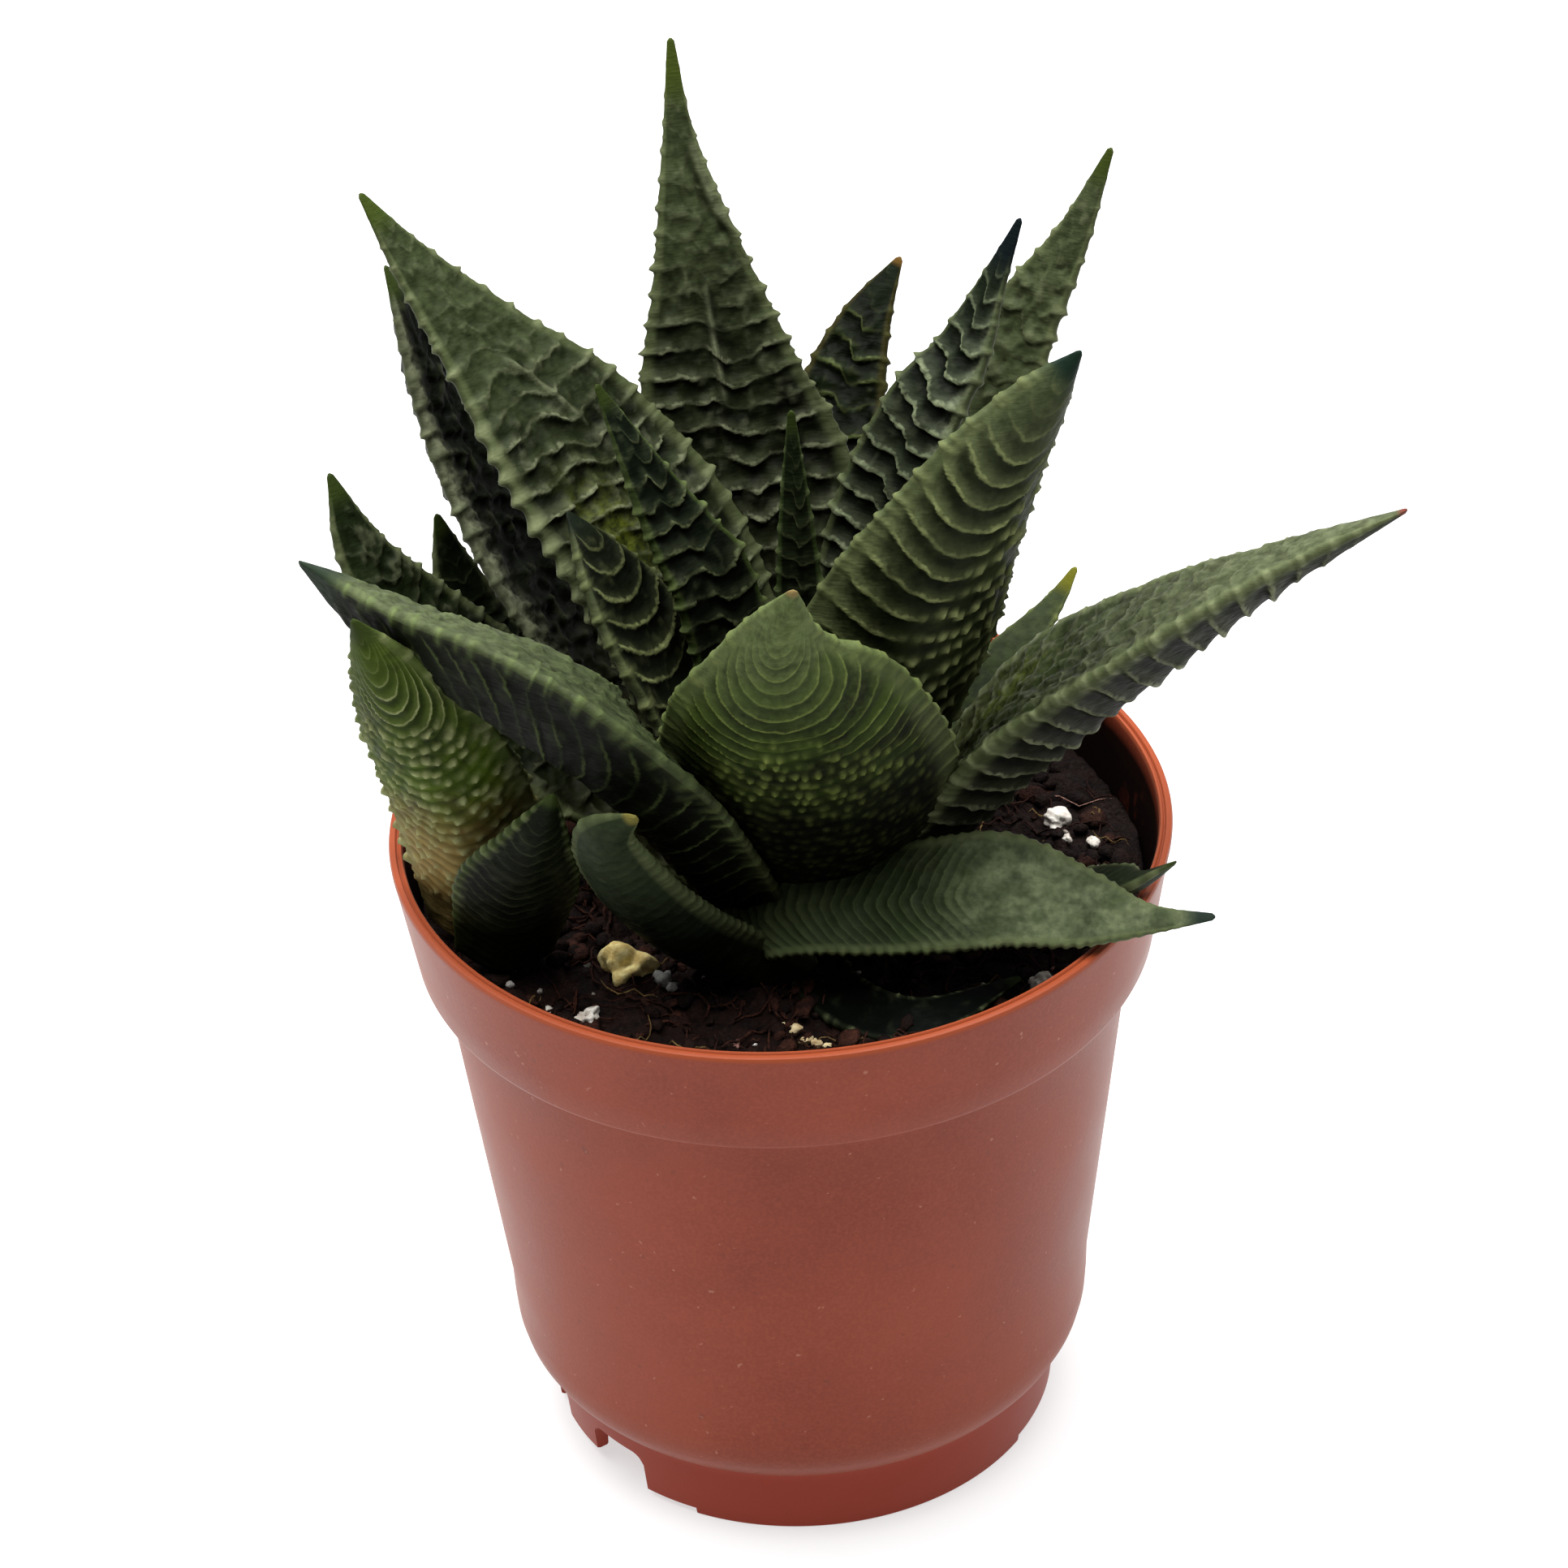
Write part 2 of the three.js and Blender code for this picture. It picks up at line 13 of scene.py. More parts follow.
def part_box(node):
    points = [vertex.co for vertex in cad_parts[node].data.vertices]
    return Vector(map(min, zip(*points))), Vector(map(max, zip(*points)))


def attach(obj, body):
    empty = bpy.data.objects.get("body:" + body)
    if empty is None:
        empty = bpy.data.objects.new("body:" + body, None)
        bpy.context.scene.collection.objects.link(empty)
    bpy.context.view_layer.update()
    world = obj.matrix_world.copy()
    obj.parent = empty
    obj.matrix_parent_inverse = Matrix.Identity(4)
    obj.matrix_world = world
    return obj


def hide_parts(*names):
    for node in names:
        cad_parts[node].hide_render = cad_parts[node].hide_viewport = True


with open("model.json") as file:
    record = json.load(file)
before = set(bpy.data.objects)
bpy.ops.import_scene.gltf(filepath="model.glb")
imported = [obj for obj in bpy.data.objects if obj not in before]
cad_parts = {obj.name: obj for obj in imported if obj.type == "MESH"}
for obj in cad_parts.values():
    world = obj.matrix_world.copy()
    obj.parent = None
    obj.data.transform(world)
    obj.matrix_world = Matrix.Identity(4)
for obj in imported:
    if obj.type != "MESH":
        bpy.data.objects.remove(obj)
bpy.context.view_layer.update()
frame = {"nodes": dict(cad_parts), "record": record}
pot_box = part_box("pot")

# The pot's axis in the model's own frame, and the size of a millimetre
AXIS_X = (pot_box[0].x + pot_box[1].x) / 2
AXIS_Y = (pot_box[0].y + pot_box[1].y) / 2
MM = 0.001

# Camera, about the pot's axis
TARGET_HEIGHT = 30
CAMERA_ELEVATION = 37.74
CAMERA_DISTANCE = 450
FOCAL_PIXELS = 7706
PICTURE_PIXELS = 1932
SENSOR = 36
CAMERA_YAW = -0.05
CAMERA_PITCH = 2.38
CAMERA_ROLL = 2.62
CLIP_BETWEEN = (0.01, 10)

# Leaf surface: steps of the mesh, thickness and rounding, then sizes of ridges, beads and teeth.
# Lengths are in millimetres, and MARGIN_BAND is in shares of the half-width.
ALONG_STEP = 0.21
ACROSS_STEP = 0.27
FINE_STEP = 0.18
MARGIN_THICKNESS = 0.7
TIP_THICKNESS = 0.12
THIN_BELOW = 1.6
LEAST_HALF_WIDTH = 0.05
TIP_CROWN = 0.12
KEEL_ROUNDING = 0.04
MARGIN_STEPS = 3
LEAST_COLUMNS = 14
MOST_COLUMNS = 66
PATH_SAMPLES = 1500
EDGE_WIDTH = 0.12
FULL_RELIEF_HALF_WIDTH = 2.6
LEDGE_LEAN = 0.35
FOOT_SHARE = 0.3
DROP_WIDTH = 0.17
CREST_WIDTH = 0.17
BEAD_PLACE = 0.3
HALVES_MEET = 0.12
BEAD_BLEND = 0.08
MARGIN_BAND = (0.84, 0.99)
TOOTH_LENGTH = 0.45
TOOTH_WIDTH = 0.2
SMALL_TOOTH_PITCH = 0.8
SMALL_TOOTH_WIDTH = 0.16
UPPER, UNDER, MARGIN = 0, 1, 2

# Kinds of leaf: lift tips the upper face skyward, keel and hollow are shares of the half-width,
# and bluntness runs from 1, a sharp keel, to 2, a round back
CHANNELLED = dict(lift=1, keel=0.5, hollow=0.2, bluntness=1.5)
ROUND_BACKED = dict(lift=0.4, keel=0.5, hollow=0.2, bluntness=2)
SHARP_KEELED = dict(lift=1, keel=0.8, hollow=0.2, bluntness=1.25)
LOW_LYING = dict(lift=3.5, keel=0.38, hollow=0.15, bluntness=1.5)
STUBBY = dict(lift=0.5, keel=0.5, hollow=0.15, bluntness=1.7)

# Relief of a face: lengths in millimetres, the rest as shares. Ridges stand a pitch apart, bent about
# the centre by bend, tip_bend and bow, wandering by sway, interrupted by broken and halves, and shaped
# by height and ramp. Beads, a rib or a fold can take their place over part of the length.
WAVY = dict(
    pitch=1.95, bend=0.6, tip_bend=0, bow=1.7, centre=0, sway=0.42, broken=0.65, halves=0.27,
    height=0.5, ramp=0.75, lines=1, knobs=0.1, fade_from=0.75, fade_to=0.98, rest=0.15,
    bead_below=0, bead_slant=0, bead_curve=0, bead_pitch=0.9, bead_height=0.3, bead_size=0.2,
    bead_long=1, bare_below=0, rib=0, rib_from=0.4, rib_to=0.6, rib_lean=0, fold=None,
)
TALL = dict(
    WAVY, sway=0.55, broken=0.8, lines=0.85, knobs=0.17, fade_from=0.58, fade_to=0.74,
    rib=0.3, rib_from=0.56, rib_to=0.7, fold=(0.88, 0.1, 0.72, 0.92),
)
DEEP = dict(WAVY, height=0.65, broken=0.25, sway=0.35)
FINE = dict(WAVY, pitch=1.5, height=0.25, broken=0.5)
MOTTLED = dict(WAVY, height=0.3, broken=0.8, knobs=0.22, sway=0.5, lines=0.3)
KNOBBY = dict(MOTTLED, height=0.16, knobs=0.2, lines=0.2)
BANDED = dict(
    WAVY, pitch=1.35, bend=2.5, tip_bend=4, bow=2, sway=0.24, height=0.2, broken=0.35, halves=0.06,
    ramp=0.35, knobs=0.04, fade_from=0.78, fade_to=0.9, rest=0.2,
    bead_below=0.7, bare_below=0.3, bead_pitch=1.05, bead_size=0.27,
)
LEDGED = dict(
    WAVY, pitch=2.1, bend=0.7, sway=0.2, height=0.65, broken=0.15, halves=0, knobs=0.05, lines=0.8,
)
FAINT = dict(WAVY, pitch=1, bend=1, height=0.05, broken=0.4, knobs=0.05, sway=0.2, rest=0, lines=0.12)
PLAIN = dict(WAVY, height=0.03, knobs=0.06, lines=0)

# Colours of a leaf, from 0 to 255, and the shares of its length between which they change. deep is
# the darker flesh, and also the painted shade at a ridge's foot and on under faces, crest its top, bloom
# and pale the greyer skin, and patchy breaks up the pale. Near the root the colour is partly the leaf's
# own tone and partly painted shade, and a share of crest colour is painted light just above each crest.
# Each of the spots has its place, middle, height, width and face.
GREEN = dict(
    flesh=(43, 51, 31), deep=(11, 14, 8), crest=(200, 206, 178), bloom=(96, 103, 78),
    pale=(94, 104, 76), pale_from=0.5, pale_to=0.85, patchy=0.25,
    edge=(132, 142, 104), edge_from=0.84, edge_strength=0.6, tip=(70, 84, 42), tip_from=0.93,
    base=(44, 44, 26), base_from=0.1, base_to=0.42, base_crest_shade=0.5,
    spot=(132, 142, 44), spots=(), slope_light=0.12, under_shade=0, valley_shade_strength=0.85,
)
DARK = dict(
    GREEN, flesh=(28, 35, 22), deep=(9, 12, 7), crest=(180, 190, 150), pale=(48, 59, 40),
    bloom=(60, 68, 50),
)
FRESH = dict(
    GREEN, flesh=(56, 70, 28), deep=(18, 23, 10), crest=(206, 220, 112), pale=(118, 134, 84),
    bloom=(86, 100, 56),
)


# Table of leaves; a leaf's place in it also seeds its relief
LEAVES = []


def grow(name, kind, facing, look, spine, upper=WAVY, under=FINE, **given):
    """Adds a leaf to the table, with the usual relief, steps and teeth where none are given."""
    made = dict(
        kind, name=name, facing=facing, look=look, spine=spine, upper=SimpleNamespace(**upper),
        under=SimpleNamespace(**under), step=ALONG_STEP, tooth=TOOTH_LENGTH, lobes=(),
    )
    made.update(given)
    LEAVES.append(SimpleNamespace(**made))


# The innermost leaf first. Each row of a spine is x, y, z and half-width, from root to tip, and facing,
# the number after the kind, is the direction that the upper face looks to, in degrees from +X.
grow(
    "leaf_young_centre", CHANNELLED, -90, upper=dict(FINE, lines=0.25),
    look=dict(DARK, flesh=(15, 21, 12), deep=(5, 7, 4), edge=(110, 134, 76), edge_from=0.92),
    spine=[[1.3, 0.5, 50, 2], [2, 2, 65.5, 1.5], [2, 3, 73, 1], [2, 4, 81, 0.2]],
)
grow(
    "leaf_young_left", CHANNELLED, -60, upper=dict(WAVY, lines=0.7, broken=0.8),
    look=dict(
        DARK, flesh=(18, 26, 19), pale=(36, 47, 37), bloom=(46, 56, 46), edge=(128, 150, 84),
        edge_strength=0.8, edge_from=0.93,
    ),
    spine=[
        [-0.5, 0, 51, 2.6], [-3.5, 0, 68.5, 3], [-5.5, 0.5, 73, 2.5], [-7.5, 1, 77, 1.7],
        [-11, 2, 85, 0.2],
    ],
)
grow(
    "leaf_right_narrow", CHANNELLED, -130, upper=DEEP,
    look=dict(
        DARK, flesh=(28, 35, 24), crest=(190, 200, 172), pale=(46, 56, 44), bloom=(54, 62, 48),
        tip=(24, 34, 42), tip_from=0.88, spot=(176, 184, 164),
        spots=[(0.62, 0.88, 0.22, 0.2, UPPER)],
    ),
    spine=[
        [3.5, 2, 50, 3], [7.2, 5, 68.5, 4], [10.7, 7, 77.9, 3.1], [13.7, 8.5, 82, 2.1],
        [15.8, 10, 86, 1.1], [18.1, 11, 91.1, 0.2],
    ],
)
grow(
    "leaf_right_front", ROUND_BACKED, 103,
    under=dict(
        BANDED, pitch=1.75, tip_bend=0.8, centre=0.25, broken=0.5, height=0.3, bead_below=0.64,
        bead_slant=0.32, bead_pitch=0.95, bead_size=0.32, bead_height=0.38, bare_below=0.02,
        lines=0.85,
    ),
    step=FINE_STEP,
    look=dict(
        FRESH, flesh=(54, 63, 38), pale=(98, 107, 82), bloom=(74, 84, 54), slope_light=0.16,
        crest=(210, 219, 160), spot=(112, 122, 92), spots=[(0.68, 0.9, 0.3, 0.22, UNDER)],
        tip=(34, 54, 48), base=(52, 60, 24), base_from=0.05, base_to=0.3, base_crest_shade=0.2,
    ),
    spine=[
        [3.5, -3.5, 49, 3.6], [8.1, -6, 68.5, 7.1], [13.6, -6, 80, 4.9], [17.8, -5, 85.9, 2.8],
        [21.2, -4, 89.6, 0.2],
    ],
)
grow(
    "leaf_left_inner", CHANNELLED, -20,
    upper=dict(WAVY, bend=2.2, bow=2.2, height=0.35, halves=0, sway=0.2, broken=0.4),
    look=dict(
        DARK, flesh=(22, 27, 17), pale=(26, 33, 22), crest=(176, 184, 134), bloom=(32, 38, 27),
        tip=(28, 36, 28), edge_strength=0.7, slope_light=0.06, edge_from=0.92,
    ),
    spine=[[-2, -3, 49.5, 3], [-6.5, -3, 63.5, 4.6], [-10, -1, 70, 3.8], [-13.5, 2, 75, 0.2]],
)
grow(
    "leaf_left_big", CHANNELLED, -48, under=WAVY,
    upper=dict(TALL, rib_from=0.62, rib_to=0.73, rib_lean=1.2, fold=None), lobes=[(-1, 0.36, 0.72)],
    look=dict(
        GREEN, flesh=(42, 51, 30), pale=(84, 95, 66), bloom=(86, 94, 70), base=(28, 31, 16),
        base_to=0.5, deep=(8, 10, 5), spots=[(0.45, -0.3, 0.08, 0.34, UPPER)], tip=(84, 100, 46),
    ),
    spine=[
        [-2, 2, 48, 4.5], [-6, 5, 65.5, 7.2], [-13, 9, 76.2, 6.4], [-18.6, 12, 82.3, 3.7],
        [-23.3, 14.5, 87.5, 1.6], [-26.7, 16, 92.5, 0.2],
    ],
)
grow(
    "leaf_back_tall", CHANNELLED, -85, upper=TALL, under=WAVY,
    look=dict(GREEN, tip=(92, 106, 48), tip_from=0.9, deep=(8, 10, 5), base_to=0.5),
    spine=[
        [0.5, 3, 47.5, 4.5], [-1.2, 12, 67, 7.7], [-2.8, 16, 76.5, 5.4], [-3.7, 19, 83.5, 3.2],
        [-4.8, 22.5, 91.5, 1.1], [-5.1, 25, 98.5, 0.2],
    ],
)
grow(
    "leaf_front_centre", ROUND_BACKED, 90,
    under=dict(
        BANDED, pitch=1.1, bead_pitch=0.85, bead_size=0.19, bead_long=1.7, bead_curve=0.22,
        bare_below=0.4, lines=0.65,
    ),
    tooth=0.25, step=FINE_STEP,
    look=dict(
        FRESH, flesh=(78, 98, 42), crest=(190, 206, 118), pale=(150, 166, 118), bloom=(90, 108, 54),
        # near the root it is painted near-black, as shade under its forward-leaning upper part
        pale_from=0.66, pale_to=0.9, tip=(176, 150, 108), tip_from=0.985, base=(8, 11, 6),
        base_from=0.4, base_to=0.75, slope_light=0.06, valley_shade_strength=0.55,
    ),
    spine=[
        [2, -5, 47, 4], [2.2, -10, 59.5, 9.7], [1.1, -17, 72.5, 7.8], [0.4, -20.5, 79, 3.1],
        [1.5, -24, 85, 0.2],
    ],
)
grow(
    "leaf_right_far", CHANNELLED, -110, upper=dict(MOTTLED, lines=0.12),
    look=dict(GREEN, flesh=(54, 63, 40), pale=(110, 120, 90), pale_from=0.4, tip=(84, 98, 46)),
    spine=[
        [3, 3.3, 48, 3.8], [9.8, 12, 64, 4.8], [14.9, 16, 72.5, 3.7], [18.6, 18, 79, 2.4],
        [22, 19, 84.6, 1.2], [24.9, 20, 91.1, 0.2],
    ],
)
grow(
    "leaf_right_long", SHARP_KEELED, 160, keel=0.7, upper=KNOBBY,
    under=dict(LEDGED, height=0.5, broken=0.4), tooth=0.32,
    look=dict(
        GREEN, flesh=(50, 60, 36), pale=(126, 134, 108), bloom=(112, 120, 92), pale_from=0.4,
        tip=(150, 80, 76), tip_from=0.985, under_shade=0.75, spot=(96, 108, 42),
        spots=[(0.36, -0.3, 0.09, 0.5, UPPER)],
    ),
    spine=[
        [5, -4.5, 46.5, 3], [14.6, -5.3, 61.7, 7], [24.5, -7, 69.8, 5.4], [33, -8, 74.7, 2.6],
        [42.5, -8, 78.6, 0.2],
    ],
)
grow(
    "leaf_left_long", SHARP_KEELED, 27, upper=KNOBBY,
    under=dict(LEDGED, height=0.14, pitch=1.8, bend=4, bow=1.5, broken=0.75, lines=0.35, knobs=0.1),
    tooth=0.22,
    look=dict(
        GREEN, flesh=(58, 68, 46), pale=(122, 132, 104), bloom=(110, 118, 90), tip=(52, 66, 56),
        tip_from=0.9, under_shade=0.93, edge_from=0.93, edge_strength=0.25, pale_from=0.35, slope_light=0.03,
        crest=(156, 176, 116), deep=(8, 11, 5),
    ),
    spine=[
        [-1, -7, 48, 3.5], [-8, -14, 66.5, 6], [-15.6, -12, 72.2, 6.1], [-24.4, -9, 74.8, 3.8],
        [-31.3, -6, 77.2, 0.2],
    ],
)
grow(
    "leaf_back_right", CHANNELLED, -110, upper=dict(WAVY, knobs=0.24, broken=0.8),
    look=dict(
        GREEN, flesh=(14, 22, 7), crest=(126, 138, 92), pale=(20, 29, 11), bloom=(26, 36, 15),
        deep=(4, 5, 2), edge=(96, 84, 44), tip=(120, 86, 34), tip_from=0.98, slope_light=0.06,
    ),
    spine=[
        [1.5, 5, 47, 3.5], [3.5, 20, 62, 4.6], [5.6, 26, 67.8, 3.2], [7.7, 30, 71.9, 1.8],
        [10.5, 33, 75.5, 0.2],
    ],
)
# Its dark skin is painted shade, cast by leaf_left_big in front of it
grow(
    "leaf_left_back", CHANNELLED, -20, upper=dict(MOTTLED, lines=0.06, knobs=0.26),
    look=dict(
        DARK, flesh=(12, 16, 9), deep=(4, 6, 3), pale=(18, 23, 14), bloom=(26, 31, 20),
        edge=(150, 156, 132), edge_strength=0.8, slope_light=0.04, crest=(132, 140, 108),
        spot=(186, 190, 170), spots=[(0.5, -0.97, 0.6, 0.18, UPPER)],
    ),
    spine=[[-4.5, 6, 48, 4.2], [-14.5, 14, 61, 6.5], [-21.3, 19, 71.5, 4.1], [-25.8, 22, 83.2, 0.2]],
)
grow(
    "leaf_left_far", CHANNELLED, -45, upper=dict(MOTTLED, lines=0.2),
    look=dict(GREEN, flesh=(28, 37, 19), pale=(42, 53, 30), bloom=(54, 64, 40)),
    spine=[[-4, 0, 46.5, 3.2], [-20, 5, 58.5, 4.7], [-27.5, 7, 68, 2.2], [-30, 9, 74.5, 0.2]],
)
grow(
    "leaf_left_far_small", CHANNELLED, -60, upper=dict(FINE, lines=0.2, knobs=0.15),
    look=dict(DARK, flesh=(16, 24, 12), pale=(28, 38, 22)),
    spine=[[-5, 5, 46, 2.5], [-19.1, 14, 54.5, 3], [-22.1, 17, 59.5, 1.8], [-23.4, 18, 65, 0.2]],
)
grow(
    "leaf_right_small", CHANNELLED, -130, upper=PLAIN, under=PLAIN,
    look=dict(FRESH, flesh=(66, 76, 60), pale=(86, 97, 68), tip=(146, 144, 52), tip_from=0.9),
    spine=[[5, 2, 47, 2.5], [15, 11, 53, 2], [20, 16, 56, 0.8], [22, 18, 58, 0.2]],
)
grow(
    "leaf_low_left", STUBBY, 70, upper=FAINT, under=FAINT, tooth=0.2,
    look=dict(
        DARK, flesh=(38, 47, 36), pale=(66, 78, 56), bloom=(50, 60, 46), crest=(110, 124, 98),
        tip=(150, 140, 80), tip_from=0.97,
    ),
    spine=[
        [-0.5, -10.5, 44.8, 3.6], [-6.5, -13, 50.6, 4], [-10, -17, 57.5, 3.3], [-11.5, -20, 63.5, 2],
        [-9.5, -22, 66.5, 0.3],
    ],
)
grow(
    "leaf_low_right", LOW_LYING, -90, lift=1.5, tooth=0.26,
    upper=dict(
        FAINT, height=0.12, pitch=0.8, bend=2.6, bow=1.6, fade_from=0.48, fade_to=0.6, knobs=0.1,
        lines=0.5,
    ),
    under=FAINT,
    look=dict(
        GREEN, flesh=(60, 76, 46), pale=(142, 152, 124), pale_from=0.4, pale_to=0.62,
        base=(92, 104, 76), deep=(36, 45, 28), bloom=(74, 84, 62), tip=(50, 64, 60),
        crest=(120, 134, 96), patchy=0.6,
    ),
    spine=[
        [-2.5, -10.5, 46, 2.2], [-2, -12.3, 50.3, 2.8], [1.5, -13.1, 52.2, 3.5],
        [6, -13.3, 52.3, 3.7], [10.5, -13.7, 52.8, 3.9], [15, -14.3, 53.4, 3.9],
        [20.5, -15.6, 52.4, 2.5], [24.5, -17, 52.4, 1], [29, -18, 53.1, 0.2],
    ],
)
grow(
    "leaf_rim_right", CHANNELLED, 150, upper=FAINT, under=FAINT,
    look=DARK,
    spine=[
        [4, -3, 46.5, 2.2], [14, -6, 47, 2.2], [20.5, -8.5, 49.2, 2], [24, -11, 51.4, 1.3],
        [27, -10, 52, 0.2],
    ],
)
# Its near-black colours are painted shade, as it lies low in shadow by the pot's rim
grow(
    "leaf_low_front", LOW_LYING, -90, upper=PLAIN, under=PLAIN, tooth=0.15,
    look=dict(DARK, flesh=(9, 15, 13), pale=(12, 19, 16), bloom=(15, 22, 19), edge_strength=0.1),
    spine=[[1.5, -6, 45.2, 1.8], [3, -14, 45.3, 2], [8.5, -18.2, 45.6, 1.7], [16, -14.2, 45.8, 0.2]],
)
grow(
    "offset_leaf_tall", STUBBY, 80,
    under=dict(
        BANDED, pitch=1.15, bead_below=0.76, bead_pitch=0.95, bead_height=0.33, bare_below=0.05,
    ),
    step=FINE_STEP,
    look=dict(
        GREEN, flesh=(102, 130, 32), deep=(28, 40, 10), crest=(244, 248, 196), pale=(88, 106, 44),
        bloom=(108, 126, 54), base=(206, 172, 112), base_crest_shade=0, base_from=0.24, base_to=0.54,
    ),
    spine=[
        [-21, -5, 46, 3.6], [-21.4, -8, 57.5, 4.9], [-23.4, -10, 66, 4.5], [-25.4, -12, 72, 2.7],
        [-27.5, -13, 77, 0.2],
    ],
)
grow(
    "offset_leaf_front", STUBBY, 90, upper=FAINT, under=FAINT, tooth=0.15,
    look=dict(
        DARK, flesh=(20, 26, 14), pale=(28, 37, 20), bloom=(30, 37, 22), edge=(106, 126, 64),
        edge_strength=0.8, edge_from=0.94,
    ),
    spine=[[-19.5, -9, 46.5, 3.2], [-18, -12, 54.5, 4], [-16.5, -15, 60, 2.2], [-15, -17, 65, 0.2]],
)
grow(
    "offset_leaf_side", STUBBY, 0, upper=PLAIN, under=PLAIN,
    look=dict(GREEN, flesh=(150, 142, 110), pale=(150, 146, 116), base=(160, 140, 100)),
    spine=[[-22, -4, 46, 1.5], [-24.3, -3, 50.5, 1.6], [-26.5, -2, 56, 0.2]],
)


# Numbers between 0 and 1 laid on a lattice, smoothed between its points
LATTICE_SIZE = 128
LATTICE = np.random.default_rng(7).random((LATTICE_SIZE, LATTICE_SIZE))


def noise(x, y, seed=0):
    """Smooth noise from -1 to 1 over a plane, with features about one unit across."""
    x = np.asarray(x, float) + 17.31 * seed
    y = np.asarray(y, float) + 5.77 * seed
    left, low = np.floor(x).astype(int), np.floor(y).astype(int)
    u, v = x - left, y - low
    u, v = u * u * (3 - 2 * u), v * v * (3 - 2 * v)

    def at(i, j):
        return LATTICE[(left + i) % LATTICE_SIZE, (low + j) % LATTICE_SIZE]
    near = at(0, 0) * (1 - u) + at(1, 0) * u
    far = at(0, 1) * (1 - u) + at(1, 1) * u
    return 2 * (near * (1 - v) + far * v) - 1


def random_of(index, seed):
    """A number from 0 to 1 that belongs to a whole number."""
    index = np.asarray(index).astype(int)
    return LATTICE[(index * 37 + 11 * seed) % LATTICE_SIZE, (index * 13 + seed) % LATTICE_SIZE]


def smooth(low, high, value):
    """0 below low, 1 above high and a soft step between."""
    share = np.clip((value - low) / (high - low), 0, 1)
    return share * share * (3 - 2 * share)


def bell(value, width):
    """1 at nothing, falling away on both sides."""
    return np.exp(-((value / width) ** 2))


def catmull(rows, places):
    """A curve through the rows, and its direction, at places from 0 to 1."""
    rows = np.asarray(rows, float)
    count = len(rows)
    ends = np.vstack([2 * rows[0] - rows[1], rows, 2 * rows[-1] - rows[-2]])
    x = np.clip(places, 0, 1) * (count - 1)
    i = np.minimum(x.astype(int), count - 2)
    f = (x - i)[:, None]
    before, here, there, after = ends[i], ends[i + 1], ends[i + 2], ends[i + 3]
    start, finish = (there - before) / 2, (after - here) / 2
    cubic = 2 * here - 2 * there + start + finish
    square = -3 * here + 3 * there - 2 * start - finish
    return ((cubic * f + square) * f + start) * f + here, (3 * cubic * f + 2 * square) * f + start


def unit(vectors):
    """Directions, one long each."""
    return vectors / np.maximum(np.linalg.norm(vectors, axis=-1, keepdims=True), 1e-12)


def ridge_count(given, along, share, u, half, seed):
    """Ridges passed from the root up to each point, as a number that grows smoothly. They wander in
    long, middle and short waves."""
    x = u * half
    wander = noise(along / 5, u * 1.7, seed) + 0.5 * noise(along / 1.8, x / 1.3, seed + 1)
    wander = wander + 0.18 * noise(along / 0.9, x / 0.6, seed + 13)
    bend = given.bend + given.tip_bend * smooth(0.6, 0.95, share)
    lean = bend * np.abs(u - given.centre) ** given.bow
    step = given.halves * np.clip(u / HALVES_MEET, -1, 1)
    return (along - lean + given.sway * wander) / given.pitch + step


def cells(given, count):
    """Which ridge each point belongs to, and how far tipward of its crest it is."""
    index = np.floor(count)
    return index, (count - index - FOOT_SHARE) * given.pitch


def beads(given, index, off, x, seed):
    """Round tubercles in rows along the ridges."""
    column = x / given.bead_pitch + 0.5 * (index % 2) + 0.35 * random_of(index, seed + 3)
    number = np.floor(column)
    nudge = 0.55 * (random_of(number + 5 * index, seed + 4) - 0.5)
    size = given.bead_size * (0.75 + 0.45 * random_of(3 * number + index, seed + 5))
    spread = (column - number - 0.5 + nudge) * given.bead_pitch
    raised = 0.35 + 0.65 * (random_of(7 * number + 3 * index, seed + 6) > 0.25)
    return bell(spread, size) * bell(off - BEAD_PLACE - nudge, size * given.bead_long) * raised


def between(low, high, soft, share):
    """1 between two shares of the length, with soft ends."""
    return smooth(low - soft, low, share) * (1 - smooth(high - soft, high, share))


def add_rib(given, x, share, height, crest, shade):
    """Adds a rib along the face, with a pale crest and painted shade along one side."""
    if not given.rib:
        return
    window = between(given.rib_from, given.rib_to, 0.03, share)
    middle = given.rib_lean * (given.rib_to - share) / (given.rib_to - given.rib_from)
    height += given.rib * bell(x - middle, 0.25) * window
    crest += 0.32 * bell(x - middle, 0.18) * window
    shade += 0.45 * bell(x - middle - 0.4, 0.22) * window


def add_fold(given, x, along, share, half, seed, height, crest, shade):
    """Adds a crease that runs from near the middle, high up, out to the margin, with painted shade along
    it and a paler band beyond.
    """
    if not given.fold:
        return
    high, inner, low, outer = given.fold
    line_x = x - (inner + (outer - inner) * (high - share) / (high - low)) * half
    line_x = line_x + 0.3 * noise(along / 2.5, 0 * x, seed + 14)
    window = between(low, high, 0.04, share)
    height -= 0.3 * bell(line_x, 0.3) * window
    crest += 0.35 * smooth(0.2, 0.6, line_x) * window
    shade += 0.5 * bell(line_x, 0.3) * window


